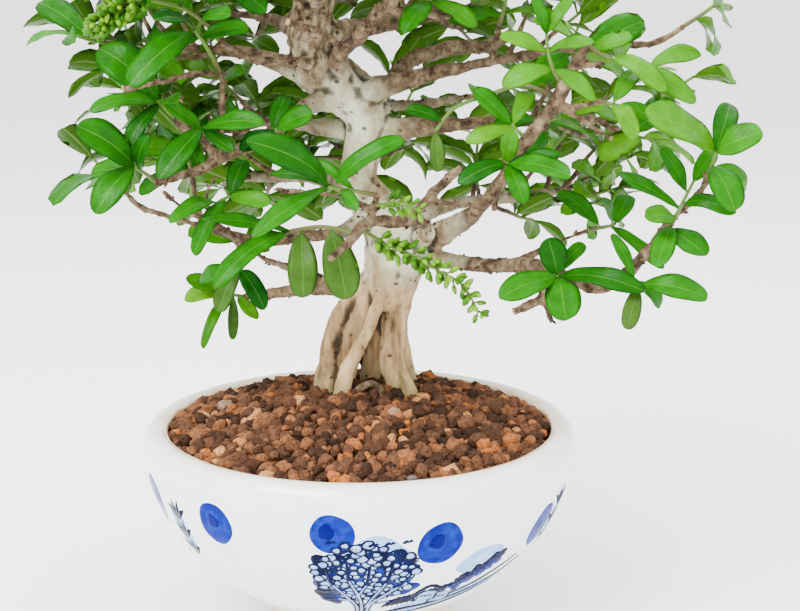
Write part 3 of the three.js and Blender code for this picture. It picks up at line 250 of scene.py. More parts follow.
# Each pair of leaves: its share of the shoot, its size and the span of its angle off the shoot in degrees.
LEAF_PAIRS = [(0.28, 0.86, (84, 100)), (0.6, 1, (72, 90)), (1, 0.8, (44, 56))]
LEAF_LENGTH = (21, 30)
LEAF_SLIMNESS = (0.4, 0.48)
LEAF_LIFT = (-0.12, 0.08)
PAIR_TURN = 35
CROWN_AXIS = np.array([0.0, 14.0, 0.0])
LIGHT_FROM_ABOVE = 0.6
LIGHT_FROM_OUTSIDE = 0.75
LIGHT_STRAY = 0.35
FRONT_LIGHT = np.array([0.0, -0.75, 0.6])
LEAST_LIGHT_ANGLE = 0.2

# The seeded numbers' rule, and what mixes the noise lattice.
DRAW_STEP = 48271
DRAW_MODULUS = 2147483647
SEED_SPACING = 7919
SEED_START = 17
WARM_UP_DRAWS = 5
LATTICE_PRIMES = np.array([73856093, 19349663, 83492791])
SEED_PRIME = 2654435761
MIXING_PRIME = 1274126177
HIGHEST_VALUE = 65535


# Vectors, seeded numbers and noise

def unit(vectors):
    """Each vector over its own length."""
    return vectors / np.linalg.norm(vectors, axis=-1, keepdims=True)


def draws(seed):
    """Numbers from 0 to 1: each state is the last one times DRAW_STEP, left over from DRAW_MODULUS."""
    state = seed * SEED_SPACING + SEED_START
    for _ in range(WARM_UP_DRAWS):
        state = state * DRAW_STEP % DRAW_MODULUS
    while True:
        state = state * DRAW_STEP % DRAW_MODULUS
        yield state / DRAW_MODULUS


def within(span, draw):
    """The least plus the next draw's share of the way to the most."""
    return span[0] + (span[1] - span[0]) * next(draw)


def risen(values, start, over):
    """0 up to the start, rising evenly to 1 over the given distance."""
    return np.clip((values - start) / over, 0, 1)


def angles_round(count):
    """Equal steps of a full turn."""
    return 2 * np.pi * np.arange(count) / count


def lattice_noise(points, cell, seed):
    """Random heights at the corners of a cubic lattice, blended smoothly in between: -1 to 1."""
    scaled = points / cell
    corner = np.floor(scaled).astype(np.int64)
    share = scaled - corner
    blend = share * share * (3 - 2 * share)
    total = np.zeros(len(points))
    for offset in np.ndindex(2, 2, 2):
        key = (corner + offset) @ LATTICE_PRIMES + seed * SEED_PRIME
        key = (key ^ (key >> 13)) * MIXING_PRIME
        value = ((key ^ (key >> 16)) & HIGHEST_VALUE) / HIGHEST_VALUE
        weight = np.prod(np.where(np.array(offset) == 1, blend, 1 - blend), axis=1)
        total += weight * value
    return 2 * total - 1


def smooth_path(stations, spacing):
    """A Catmull-Rom curve through the stations, cut into steps of about the spacing. Between two of them
    it is half of 2 start + (end - before) t + (2 before - 5 start + 4 end - after) t^2
    + (3 start - before - 3 end + after) t^3, with t from 0 to 1."""
    knots = np.array(stations, float)
    padded = np.vstack([2 * knots[0] - knots[1], knots, 2 * knots[-1] - knots[-2]])
    pieces = []
    for k in range(len(knots) - 1):
        before, start, end, after = padded[k:k + 4]
        steps = max(1, round(float(np.linalg.norm((end - start)[:3])) / spacing))
        t = (np.arange(steps) / steps)[:, None]
        square = 2 * before - 5 * start + 4 * end - after
        cube = 3 * start - before - 3 * end + after
        pieces.append(0.5 * (2 * start + (end - before) * t + square * t**2 + cube * t**3))
    return np.vstack([*pieces, knots[-1:]])


def reference(along):
    """The direction that turns about a line are measured from."""
    return SIDEWAYS if abs(along[2]) > NEARLY_UPRIGHT else UP


def references(alongs):
    """The direction that turns about each of many lines are measured from."""
    return np.where(np.abs(alongs[:, 2:]) > NEARLY_UPRIGHT, SIDEWAYS, UP)


def frames_along(centres):
    """Directions along a path and two square to it, carried on from ring to ring with no twist."""
    alongs = unit(np.gradient(centres, axis=0))
    normal = reference(alongs[0])
    normals = []
    for along in alongs:
        normal = unit(normal - along * (normal @ along))
        normals.append(normal)
    normals = np.array(normals)
    return alongs, normals, np.cross(alongs, normals)


# Meshes

def fill(items, field, values, kind=np.float32):
    """A field of every item set from an array."""
    items.foreach_set(field, np.asarray(values).astype(kind).reshape(-1))


def fetch(items, field, width, kind=np.float32):
    """A field of every item, as rows of the given width."""
    values = np.zeros(len(items) * width, kind)
    items.foreach_get(field, values)
    return values.reshape(-1, width)


def set_values(mesh, name, values):
    """A number for each point of the mesh, under a name that the finishes read."""
    attribute = mesh.attributes.get(name) or mesh.attributes.new(name, "FLOAT", "POINT")
    fill(attribute.data, "value", values)


class Gathered:
    """Grids of points that become one mesh, with corner UVs, a tone per point and a finish per face."""

    def __init__(self):
        self.points, self.tones, self.faces, self.corners, self.finishes = [], [], [], [], []
        self.count = 0

    def add(self, points, faces, uvs, tones=0.5, finish=0):
        """faces and uvs are lists of arrays, one for each number of corners. There may be fewer tones than
        points: each then goes to as many points in a row."""
        points = points.reshape(-1, 3)
        self.points.append(points)
        self.tones.append(np.repeat(np.asarray(tones, float).reshape(-1), len(points) // np.size(tones)))
        for rows, corners in zip(faces, uvs):
            self.faces.append(rows + self.count)
            self.corners.append(corners)
            self.finishes.append(np.full(len(rows), finish))
        self.count += len(points)

    def build(self, name, materials, slot, replaces=(), smooth=True):
        """One object at the origin, with its place in its mesh. It rides on the one body and stands for the
        named CAD nodes; its slot is not used."""
        mesh = bpy.data.meshes.new(name)
        corners = np.concatenate([rows.reshape(-1) for rows in self.faces])
        totals = np.concatenate([np.full(len(rows), rows.shape[1]) for rows in self.faces])
        mesh.vertices.add(self.count)
        fill(mesh.vertices, "co", np.vstack(self.points) * MILLIMETRE + BOWL_AXIS)
        mesh.loops.add(len(corners))
        fill(mesh.loops, "vertex_index", corners, np.int32)
        mesh.polygons.add(len(totals))
        fill(mesh.polygons, "loop_start", np.concatenate([[0], np.cumsum(totals)[:-1]]), np.int32)
        fill(mesh.polygons, "loop_total", totals, np.int32)
        fill(mesh.polygons, "material_index", np.concatenate(self.finishes), np.int32)
        fill(mesh.polygons, "use_smooth", np.full(len(totals), smooth), bool)
        uvs = np.concatenate([corner.reshape(-1, 2) for corner in self.corners])
        fill(mesh.uv_layers.new(name="UVMap").data, "uv", uvs)
        set_values(mesh, "tone", np.concatenate(self.tones))
        mesh.update(calc_edges=True)
        mesh.validate()
        for material in materials:
            mesh.materials.append(material)
        piece = bpy.data.objects.new(name, mesh)
        bpy.context.scene.collection.objects.link(piece)
        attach(piece, "root")
        if replaces:
            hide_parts(*replaces)
        return piece


def closed_grid(rows, around, capped=True):
    """Quads of a grid that closes round its rows' length, with a many-sided cap at each end."""
    row, column = np.meshgrid(np.arange(rows - 1), np.arange(around), indexing="ij")
    following = (column + 1) % around
    quads = np.stack([row * around + column, row * around + following,
        (row + 1) * around + following, (row + 1) * around + column], -1).reshape(-1, 4)
    u = np.stack([column, column + 1, column + 1, column], -1) / around
    v = np.stack([row, row, row + 1, row + 1], -1) / (rows - 1)
    quad_uvs = np.stack([u, v], -1).reshape(-1, 4, 2)
    if not capped:
        return [quads], [quad_uvs]
    ring = np.arange(around)
    caps = np.stack([ring[::-1], (rows - 1) * around + ring])
    cap_u = np.stack([ring[::-1], ring]) / around
    cap_v = np.array([[0.0], [1.0]]) * np.ones(around)
    return [quads, caps], [quad_uvs, np.stack([cap_u, cap_v], -1)]


def repeated(rows, around, times):
    """The faces and UVs of a number of like closed grids, one after the other."""
    faces, uvs = closed_grid(rows, around)
    shifts = (np.arange(times) * rows * around)[:, None, None]
    many = [(corners[None] + shifts).reshape(-1, corners.shape[1]) for corners in faces]
    return many, [np.tile(corners, (times, 1, 1)) for corners in uvs]


def add_tube(gathered, stations, around, spacing, relief=None, tone=0.5, finish=0):
    """A round section carried along the smooth path: centre + radius * (normal cos a + across sin a).
    relief(points) moves each point out from the centre line by that many millimetres."""
    path = smooth_path(stations, spacing)
    centres, radii = path[:, :3], path[:, 3]
    _, normals, acrosses = frames_along(centres)
    angles = angles_round(around)[None, :, None]
    outward = normals[:, None] * np.cos(angles) + acrosses[:, None] * np.sin(angles)
    points = centres[:, None] + outward * radii[:, None, None]
    if relief is not None:
        lift = relief(points.reshape(-1, 3)).reshape(points.shape[:2])
        points = points + outward * lift[..., None]
    gathered.add(points, *closed_grid(len(points), around), tone, finish)


def add_lathe(gathered, profile, sides):
    """A closed profile of radius and height turned round the axis: (r cos a, r sin a, z)."""
    radii, heights = np.array(profile, float).T[..., None]
    angles = angles_round(sides)
    points = np.stack([radii * np.cos(angles), radii * np.sin(angles),
        np.broadcast_to(heights, (len(radii), sides))], -1)
    faces, uvs = closed_grid(len(radii), sides, capped=False)
    last = (len(radii) - 1) * sides
    ring = np.arange(sides)
    onward = (ring + 1) % sides
    closing = np.stack([last + ring, last + onward, onward, ring], -1)
    gathered.add(points, [*faces, closing], [*uvs, np.zeros((sides, 4, 2))])


def add_ovoids(gathered, centres, directions, lengths, widths, tones, around, rings, fullness):
    """Like beads on given directions: centre - direction * length/2 * cos p
    + side * width/2 * sin p * (1 + (fullness - 1)/2 * cos p), with p from 0 at the foot to pi at the tip."""
    side = unit(np.cross(directions, references(directions)))
    over = np.cross(side, directions)
    polar = np.pi * (np.arange(rings) + 0.6) / (rings + 0.2)
    angles = angles_round(around)[None, None, :, None]
    narrowing = np.sin(polar) * (1 - 0.5 * (fullness - 1) * np.cos(np.pi - polar))
    half = (lengths / 2)[:, None, None, None]
    axial = -np.cos(polar)[None, :, None, None] * half * directions[:, None, None]
    radial = side[:, None, None] * np.cos(angles) + over[:, None, None] * np.sin(angles)
    radial = radial * (narrowing[None, :, None] * (widths / 2)[:, None, None])[..., None]
    points = centres[:, None, None] + axial + radial
    gathered.add(points, *repeated(rings, around, len(centres)), tones)


# Finishes. Colours are linear red, green and blue.

class Finish:
    """A new material and short calls for its nodes, whose inputs are values or other nodes' outputs."""

    def __init__(self, name, roughness, **sockets):
        self.material = bpy.data.materials.new(name)
        self.material.use_nodes = True
        self.tree = self.material.node_tree
        self.shader = self.tree.nodes["Principled BSDF"]
        self.shader.inputs["Roughness"].default_value = roughness
        for socket, value in sockets.items():
            self.shader.inputs[socket.replace("_", " ")].default_value = value

    def node(self, kind, output, inputs=(), **settings):
        """The named output of a new node."""
        node = self.tree.nodes.new(kind)
        for setting, value in settings.items():
            setattr(node, setting, value)
        for socket, value in dict(inputs).items():
            if isinstance(value, bpy.types.NodeSocket):
                self.tree.links.new(value, node.inputs[socket])
            else:
                node.inputs[socket].default_value = value
        return node.outputs[output]

    def place(self, stretch):
        """Object coordinates, stretched."""
        coordinates = self.node("ShaderNodeTexCoord", "Object")
        return self.node("ShaderNodeMapping", "Vector", {"Vector": coordinates, "Scale": stretch})

    def noise(self, scale, detail=3.0, stretch=(1, 1, 1), roughness=0.55):
        """Soft noise from 0 to 1."""
        return self.node("ShaderNodeTexNoise", "Fac", {"Vector": self.place(stretch), "Scale": scale,
            "Detail": detail, "Roughness": roughness})

    def cells(self, scale, stretch=(1, 1, 1)):
        """The distance to the nearest of scattered points."""
        return self.node("ShaderNodeTexVoronoi", "Distance", {"Vector": self.place(stretch), "Scale": scale})

    def attribute(self, name):
        """The number that the mesh holds for each point under the name."""
        return self.node("ShaderNodeAttribute", "Fac", attribute_name=name)

    def coordinate(self, axis, source="Object"):
        """One coordinate of the place on the object or in its UV map."""
        return self.node("ShaderNodeSeparateXYZ", axis, {"Vector": self.node("ShaderNodeTexCoord", source)})

    def share(self, value, start, end):
        """0 to 1 as the value goes from start to end."""
        return self.node("ShaderNodeMapRange", "Result", {"Value": value, "From Min": start, "From Max": end})

    def height(self, start, end):
        """0 to 1 as the height goes from start to end, in millimetres."""
        return self.share(self.coordinate("Z"), start * MILLIMETRE, end * MILLIMETRE)

    def from_bowl_axis(self, start, end):
        """0 to 1 as the distance from the bowl's axis goes from start to end, in millimetres."""
        place = self.node("ShaderNodeTexCoord", "Object")
        level = self.node("ShaderNodeVectorMath", "Vector", {0: place, 1: (1, 1, 0), 2: tuple(-BOWL_AXIS)},
            operation="MULTIPLY_ADD")
        distance = self.node("ShaderNodeVectorMath", "Value", {0: level}, operation="LENGTH")
        return self.share(distance, start * MILLIMETRE, end * MILLIMETRE)

    def maths(self, operation, *values):
        """The operation done on the values."""
        return self.node("ShaderNodeMath", 0, enumerate(values), operation=operation)

    def ramp(self, factor, *stops):
        """Colours, or shades as single numbers, placed along a factor from 0 to 1."""
        node = self.tree.nodes.new("ShaderNodeValToRGB")
        elements = node.color_ramp.elements
        while len(elements) < len(stops):
            elements.new(0.5)
        for element, (place, colour) in zip(elements, stops):
            element.position = place
            element.color = (*(colour if isinstance(colour, tuple) else (colour,) * 3), 1)
        self.tree.links.new(factor, node.inputs["Fac"])
        return node.outputs["Color"]

    def mixed(self, factor, first, second, blend="MIX"):
        """The first colour towards the second by the factor."""
        first, second = ((*value, 1) if isinstance(value, tuple) else value for value in (first, second))
        return self.node("ShaderNodeMix", 2, {0: factor, 6: first, 7: second},
            data_type="RGBA", blend_type=blend)

    def colour(self, colour):
        """The colour linked to the shader."""
        self.tree.links.new(colour, self.shader.inputs["Base Color"])

    def bump(self, height, distance, strength):
        """Fine relief of the given height, shown by the shader."""
        normal = self.node("ShaderNodeBump", "Normal",
            {"Height": height, "Distance": distance, "Strength": strength})
        self.tree.links.new(normal, self.shader.inputs["Normal"])


def plain_finish(name, colour, roughness):
    """A finish of one colour."""
    plain = Finish(name, roughness)
    plain.shader.inputs["Base Color"].default_value = (*colour, 1)
    return plain.material


def toned_finish(name, roughness, specular, *stops):
    """A finish with colours by tone alone."""
    toned = Finish(name, roughness, Specular_IOR_Level=specular)
    toned.colour(toned.ramp(toned.attribute("tone"), *stops))
    return toned.material


def porcelain_finish():
    """White glaze, a little blue and uneven, warmer in places and stained brown at the lip and the foot."""
    glaze = Finish("porcelain_glaze", 0.07, Coat_Weight=0.4, Coat_Roughness=0.03)
    white = glaze.ramp(glaze.noise(28, 4), (0.3, (0.74, 0.80, 0.83)), (0.7, (0.86, 0.89, 0.90)))
    warmth = glaze.ramp(glaze.noise(38, 5), (0.48, 0.0), (0.78, 0.6))
    warm = glaze.mixed(warmth, white, (0.80, 0.76, 0.62))
    with_foot = glaze.mixed(glaze.height(22, 4), warm, (0.62, 0.52, 0.34))
    on_lip = glaze.maths("MULTIPLY", glaze.from_bowl_axis(87.5, 81.5), glaze.height(83, 86.5))
    uneven = glaze.maths("MULTIPLY", on_lip, glaze.ramp(glaze.noise(42, 5), (0.35, 0.3), (0.7, 1.0)))
    with_lip = glaze.mixed(uneven, with_foot, (0.60, 0.40, 0.17))
    specks = glaze.ramp(glaze.cells(95), (0.035, 0.35), (0.06, 1.0))
    glaze.colour(glaze.mixed(0.6, with_lip, specks, "MULTIPLY"))
    glaze.bump(glaze.noise(70, 2), 0.0004, 0.3)
    return glaze.material


def stain_finish():
    """The unglazed edge of the lip, worn from cream to brown."""
    stain = Finish("lip_stain", 0.25)
    stain.colour(stain.ramp(stain.noise(60, 4), (0.35, (0.40, 0.20, 0.06)), (0.65, (0.74, 0.66, 0.48))))
    return stain.material


def cobalt_finish(name, deep, light, spread=(0.35, 0.7)):
    """Cobalt brushed under the glaze: darker towards the edge and mottled."""
    cobalt = Finish(name, 0.12, Specular_IOR_Level=0.03)
    towards_edge = cobalt.maths("MULTIPLY", cobalt.attribute("tone"), -0.14)
    mottle = cobalt.maths("ADD", cobalt.noise(260, 5), towards_edge)
    cobalt.colour(cobalt.ramp(mottle, (spread[0], deep), (spread[1], light)))
    return cobalt.material


def clay_finish():
    """Fired clay: dark brown, red-brown, orange, cream and slate grains by tone, crumbly all over."""
    clay = Finish("fired_clay", 0.92, Specular_IOR_Level=0.1)
    grain = clay.ramp(clay.attribute("tone"), (0.0, (0.018, 0.009, 0.005)), (0.3, (0.060, 0.027, 0.014)),
        (0.55, (0.105, 0.044, 0.021)), (0.72, (0.17, 0.066, 0.026)), (0.86, (0.31, 0.095, 0.022)),
        (0.95, (0.40, 0.20, 0.08)), (1.0, (0.07, 0.075, 0.08)))
    speck = clay.ramp(clay.noise(900, 4), (0.35, 0.6), (0.65, 1.4))
    clay.colour(clay.mixed(1.0, grain, speck, "MULTIPLY"))
    clay.bump(clay.noise(1100, 4), 0.0007, 0.8)
    return clay.material


def bark_finish():
    """Where the tone is 1, trunk: whitish with brown pores, rough and browner in the crown, ochre on the
    bare roots and greenish by the soil. Where it is 0, tan-brown boughs with flaking skin.
    Hollows are darkened with painted shade, by how deep each point lies in its surroundings."""
    bark = Finish("pale_bark", 0.87, Specular_IOR_Level=0.25)
    patches = bark.noise(75, 7, (1, 1, 0.6), roughness=0.62)
    grey = bark.ramp(patches, (0.30, (0.075, 0.045, 0.022)), (0.41, (0.27, 0.20, 0.11)),
        (0.51, (0.44, 0.43, 0.27)), (0.66, (0.66, 0.66, 0.48)))
    crags = bark.noise(210, 8, (1, 1, 0.7), roughness=0.7)
    rough = bark.ramp(crags, (0.36, (0.022, 0.012, 0.006)), (0.47, (0.15, 0.098, 0.050)),
        (0.56, (0.33, 0.25, 0.150)), (0.68, (0.54, 0.48, 0.32)))
    furrows = bark.noise(170, 6, (1, 1, 0.22), roughness=0.6)
    ochre = bark.ramp(furrows, (0.30, (0.075, 0.042, 0.018)), (0.43, (0.30, 0.185, 0.085)),
        (0.60, (0.56, 0.38, 0.19)), (0.75, (0.66, 0.50, 0.29)))
    wander = bark.maths("MULTIPLY", bark.maths("SUBTRACT", bark.noise(55, 3), 0.5), 1.4)

    def past(start, end):
        """0 below the first height and 1 above the second, along a wandering edge."""
        return bark.ramp(bark.maths("ADD", bark.height(start, end), wander), (0.2, 0.0), (0.8, 1.0))

    wood = bark.mixed(past(210, 240), bark.mixed(past(132, 160), ochre, grey), rough)
    by_soil = bark.maths("MULTIPLY", bark.height(112, 94), 0.55)
    greened = bark.mixed(by_soil, wood, (0.12, 0.14, 0.035))
    pores = bark.ramp(bark.cells(150, (1, 1, 1.3)), (0.12, 0.06), (0.19, 1.0))
    spots = bark.ramp(bark.noise(33, 2), (0.36, 0.0), (0.48, 1.0))
    trunk = bark.mixed(spots, greened, bark.mixed(0.85, greened, pores, "MULTIPLY"))
    flakes = bark.noise(230, 8, roughness=0.68)
    bough = bark.ramp(flakes, (0.34, (0.014, 0.008, 0.004)), (0.44, (0.060, 0.036, 0.018)),
        (0.55, (0.140, 0.094, 0.050)), (0.70, (0.29, 0.23, 0.135)))
    skin = bark.mixed(bark.attribute("tone"), bough, trunk)
    # Painted shade: the skin is darkened where it lies in a hollow, between roots and in furrows.
    shade = bark.ramp(bark.attribute("hollow_shade"), (0.03, 1.0), (0.45, 0.4), (1.0, 0.12))
    bark.colour(bark.mixed(1.0, skin, shade, "MULTIPLY"))
    relief = bark.maths("ADD", bark.maths("ADD", crags, furrows), bark.maths("MULTIPLY", pores, 0.3))
    bark.bump(relief, 0.0014, 0.9)
    return bark.material


def leaf_finish():
    """Waxy top with a pale midrib and faint side veins, and a duller, paler underside. Both sides grow
    brighter yellow-green with the tone: painted light shining through the leaves at the back and high on the
    right, with a little spread by chance. Across the blade the map goes from 0 to 0.5 over the top and on to
    1 underneath, with the midrib in the middle of each."""
    dark, mid, young_and_backlit = (0.0015, 0.040, 0.0008), (0.011, 0.116, 0.001), (0.072, 0.225, 0.0006)
    dull = (0.030, 0.078, 0.008)
    leaf = Finish("leaf", 0.3, Specular_IOR_Level=0.06)
    tone = leaf.attribute("tone")
    # Painted light: higher tones, given to leaves at the back and high on the right, turn the top brighter
    # yellow-green.
    top = leaf.ramp(tone, (0.05, dark), (0.45, mid), (0.9, young_and_backlit), (1.0, dull))
    clouds = leaf.ramp(leaf.noise(170, 5), (0.3, 0.6), (0.7, 1.5))
    clouded = leaf.mixed(0.6, top, clouds, "MULTIPLY")
    across, lengthwise = leaf.coordinate("X", "UV"), leaf.coordinate("Y", "UV")
    along_side = leaf.maths("FRACT", leaf.maths("MULTIPLY", across, 2))
    from_rib = leaf.maths("ABSOLUTE", leaf.maths("SUBTRACT", along_side, 0.5))
    slant = leaf.maths("ADD", leaf.maths("MULTIPLY", lengthwise, 9), leaf.maths("MULTIPLY", from_rib, -5))
    veins = leaf.ramp(leaf.maths("PINGPONG", slant, 0.5), (0.0, 1.0), (0.07, 0.0))
    veined = leaf.mixed(leaf.maths("MULTIPLY", veins, 0.06), clouded, young_and_backlit)
    ribbed = leaf.mixed(leaf.ramp(from_rib, (0.006, 0.42), (0.022, 0.0)), veined, (0.10, 0.24, 0.03))
    # Painted light: the underside brightens with the tone, as light shining through the leaf.
    underside = leaf.mixed(leaf.maths("MULTIPLY", tone, 0.5), dull, young_and_backlit)
    ribbed_below = leaf.mixed(leaf.ramp(from_rib, (0.02, 0.6), (0.06, 0.0)), underside, (0.16, 0.26, 0.08))
    leaf.colour(leaf.mixed(leaf.maths("GREATER_THAN", across, 0.5), ribbed, ribbed_below))
    leaf.bump(leaf.maths("ADD", leaf.maths("MULTIPLY", veins, -0.5), leaf.noise(420, 3)), 0.0003, 0.6)
    return leaf.material


def shoot_finish():
    """Green shoots, browner towards the foot."""
    shoot = Finish("green_shoot", 0.55, Specular_IOR_Level=0.3)
    lengthwise = shoot.coordinate("Y", "UV")
    shoot.colour(shoot.ramp(lengthwise, (0.1, (0.08, 0.062, 0.02)), (0.6, (0.075, 0.15, 0.015))))
    return shoot.material


GLAZE = porcelain_finish()
STAIN = stain_finish()
COBALT = cobalt_finish("cobalt", (0.002, 0.008, 0.16), (0.008, 0.035, 0.33), (0.30, 0.72))
COBALT_DOT = cobalt_finish("cobalt_dot", (0.001, 0.002, 0.09), (0.002, 0.005, 0.17))
COBALT_LINE = cobalt_finish("cobalt_line", (0.003, 0.004, 0.022), (0.006, 0.014, 0.075))
COBALT_WASH = cobalt_finish("cobalt_wash", (0.22, 0.40, 0.70), (0.48, 0.62, 0.80))
PALE_CELL = cobalt_finish("pale_cell", (0.17, 0.31, 0.62), (0.42, 0.56, 0.80), (0.3, 0.6))
CLAY = clay_finish()
BARK = bark_finish()
CUT = toned_finish("cut_wood", 0.75, 0.3, (0.1, (0.07, 0.035, 0.018)), (0.6, (0.36, 0.20, 0.10)))
SCALE = toned_finish("bud_scales", 0.75, 0.3, (0.0, (0.022, 0.008, 0.004)), (0.5, (0.062, 0.022, 0.010)),
    (1.0, (0.15, 0.075, 0.036)))
LEAF = leaf_finish()
SHOOT = shoot_finish()
BUD = toned_finish("flower_bud", 0.42, 0.1, (0.0, (0.014, 0.070, 0.001)), (0.5, (0.045, 0.150, 0.002)),
    (1.0, (0.12, 0.26, 0.006)))
SCREEN = plain_finish("screen_mesh", (0.03, 0.035, 0.03), 0.6)
# Painted shade: the near-black bed that shows in the gaps between the soil's grains.
GRAIN_GAP_SHADE = plain_finish("soil_shade", (0.014, 0.007, 0.004), 0.95)


# Bowl and its painting

BOWL_SIDES = 192
LIP_STAIN = [(80.9, 86.7), (80.3, 86.75), (79.6, 85.6), (79.7, 84.2), (80.2, 84.3), (80.2, 85.4)]


def smooth_profile(points, spacing):
    """The profile as a smooth curve; its points are radius and height."""
    return smooth_path([(radius, 0, height) for radius, height in points], spacing)[:, [0, 2]]


OUTER = smooth_profile(BOWL_OUTSIDE, 1.2)
OUTER_ARC = np.concatenate([[0], np.cumsum(np.linalg.norm(np.diff(OUTER, axis=0), axis=1))])
OUTER_SLOPE = np.gradient(OUTER, axis=0)

# Paint: its colours in the order of PAINTS, how deep it goes below the glaze and how high it stands above.
PAINTS = [COBALT, COBALT_DOT, COBALT_LINE, COBALT_WASH, PALE_CELL]
BRUSHED, DOT, LINE, WASH, CELL = range(5)
PAINT_SUNK = 0.25
DISC_HEIGHT = 0.02
DOT_HEIGHT = 0.035
REED_WASH_HEIGHT = 0.03
REED_HEIGHT = 0.06
SCENERY_HEIGHTS = (0.05, 0.25, 0.0005)
STROKE_SPACING = 0.8
LEAST_STROKE = 0.12

# Places on the outside are degrees round the axis and millimetres up from the foot.
SCENE_TURNS = (0, 122, 241)
SCENERY_FOOT = (-89, 40.0)
REEDS_CENTRE = (-144, 76.0)
# Discs: degrees, distance up, half sizes, tilt, and the dot's place and size. The back is filled by one rule.
DISCS = [(-158, 85.5, 8.2, 10.2, 4, (0, 0.5), 2.7), (-127.7, 87.2, 8.2, 9.2, 0, (-0.8, 1.0), 2.7),
    (-95.5, 89.6, 8.6, 8.5, 0, (-2.2, 1.2), 3.0), (-68.2, 82.8, 9.2, 9.9, -12, (-1.6, 1.5), 3.1),
    (-30.5, 76.6, 7.4, 10.2, -10, (0, 0), 2.2)]
DISCS += [(4 + 33 * k, 84 + 3 * np.sin(2.4 * k), 8.5, 9.1, 6 * np.sin(k), (np.sin(3 * k), 1), 2.8)
    for k in range(6)]

# A tree, a small tree, two huts and the ground, in millimetres right of and above the scene's foot:
# brush strokes as points and widths, blots as centres and half sizes, washes with their ripple and tilt too.
WASHES = [(3.5, 32, 14, 15, 0.12, 0), (33, 6, 22, 6, 0.05, 18), (38.5, 29.5, 8.5, 7, 0.04, 20)]
TREE_STROKES = [
    ([(-1.5, -6), (-1.0, 5), (-4, 14), (-8, 23), (-9.5, 33)], (2.6, 2.3, 2.0, 1.6, 0.9)),
    ([(0.5, -6), (0.6, 7), (-0.5, 16), (-3, 26), (-3.5, 37)], (2.3, 2.1, 1.8, 1.4, 0.8)),
    ([(2.2, -6), (3.2, 6), (7, 14), (12, 21), (15.5, 29)], (2.6, 2.3, 2.0, 1.6, 0.9)),
    ([(2.0, 5), (4.5, 14), (8, 24), (9.5, 35)], (2.0, 1.8, 1.5, 0.8)),
    ([(-2, 11), (-7, 13), (-12, 12)], (1.8, 1.4, 0.8)),
    ([(4, 8), (10, 10), (15, 13)], (1.8, 1.4, 0.8)),
    ([(-1, 14), (2, 23), (3, 34)], (1.6, 1.2, 0.8)),
]
LIGHT_ON_STROKE = 0.36
CROWN_BLOTS = [(-9, 15, 5, 6), (-6, 24, 7, 8), (-8, 34, 6, 6), (2, 31, 8, 8), (1, 40, 8, 5), (9, 27, 8, 8),
    (10, 37, 6, 5), (13, 20, 5, 6), (13, 31, 4, 5), (-3, 17, 6, 6), (-10, 24, 4, 7), (4, 19, 6, 6)]
CELLS = 120
CELL_SHARE = 0.82
CELL_RIM = 0.7
CELLS_CENTRE = (2, 28.5)
CELLS_REACH = 15.5
CELLS_HEIGHTENED = 1.12
CELL_STRAY = (-0.6, 0.6)
CELL_SIZES = (0.75, 1.4)
LOW_LEFT_SWELL = 0.35
BIRDS = [(-8.5, 46.2, 2.2), (-4.7, 46.2, 2.2), (2.6, 45, 2.4), (7, 45.4, 2.4), (11.8, 45.8, 2.4)]
GROUND_STROKES = [
    ([(8, -2), (18, 1.5), (30, 4), (42, 9), (53, 16), (60, 22)], (1.6, 2.6, 2.0, 2.4, 1.6, 0.8)),
    ([(12, -5), (26, -1.5), (40, 4), (52, 11)], (1.2, 2.0, 2.0, 0.8)),
    ([(32, 8), (40, 13), (48, 19), (56, 25)], (1.2, 1.8, 1.6, 0.8)),
]
FENCE_PALES = 12
HUTS = [(29.5, 10.5), (23.5, 13)]
# A hut's roof, walls and door about its place.
HUT_STROKES = [([(-6, 0), (0, 6), (6, -0.5)], (1.5, 2.0, 1.3)), ([(-4, 0.5), (-4, -6)], (1.4, 1.2)),
    ([(3.5, 0.5), (3.5, -6)], (1.4, 1.2)), ([(-2.5, -1.6), (2, -2)], (2.0, 1.6))]
SMALL_TREE = [(33.5, 19), (35.5, 21.5), (37.5, 22.5), (39.5, 24.5), (41.5, 25.5), (43.5, 27.5), (45.5, 29.5)]
# Reeds: height of each tuft, and the lean and reach of its strokes.
REED_TUFTS = (9, 0, -9)
REED_STROKES = ((-5, 3.5), (-1.5, 6), (2, 6.5), (5, 3))


def up_outside(arc, values):
    """A pair of values of the outside's profile at a distance up it from the foot."""
    return np.stack([np.interp(arc, OUTER_ARC, column) for column in values.T], -1)


def on_bowl(degrees, arc, lift):
    """The point at an angle round the axis and a distance up the outside, raised by `lift` off the glaze:
    radius + lift * slope in height, and height - lift * slope in radius."""
    place = up_outside(arc, OUTER)
    slope = unit(up_outside(arc, OUTER_SLOPE))
    radius = place[..., 0] + lift * slope[..., 1]
    height = place[..., 1] - lift * slope[..., 0]
    angle = np.radians(degrees)
    return np.stack([radius * np.cos(angle), radius * np.sin(angle), height], -1)


def add_paint(gathered, chart, centre, height, tones, finish):
    """A thin closed plaque on the glaze. chart is a grid of millimetres round and up from the centre."""
    centre_degrees, centre_arc = centre
    rows, columns = chart.shape[:2]
    degrees = centre_degrees + np.degrees(chart[..., 0] / up_outside(centre_arc, OUTER)[0])
    arc = centre_arc + chart[..., 1]
    top = on_bowl(degrees, arc, height)
    under = on_bowl(degrees, arc, -PAINT_SUNK)
    below = rows * columns
    edge = np.arange(below).reshape(rows, columns)
    quads = np.stack([edge[:-1, :-1], edge[:-1, 1:], edge[1:, 1:], edge[1:, :-1]], -1).reshape(-1, 4)
    rim = np.concatenate([edge[0, :-1], edge[:-1, -1], edge[-1, :0:-1], edge[:0:-1, 0]])
    onward = np.roll(rim, -1)
    walls = np.stack([onward, rim, rim + below, onward + below], -1)
    faces = np.vstack([quads, quads[:, ::-1] + below, walls])
    uvs = np.zeros((len(faces), 4, 2))
    gathered.add(np.stack([top, under]), [faces], [uvs], np.stack([tones, tones]), finish)


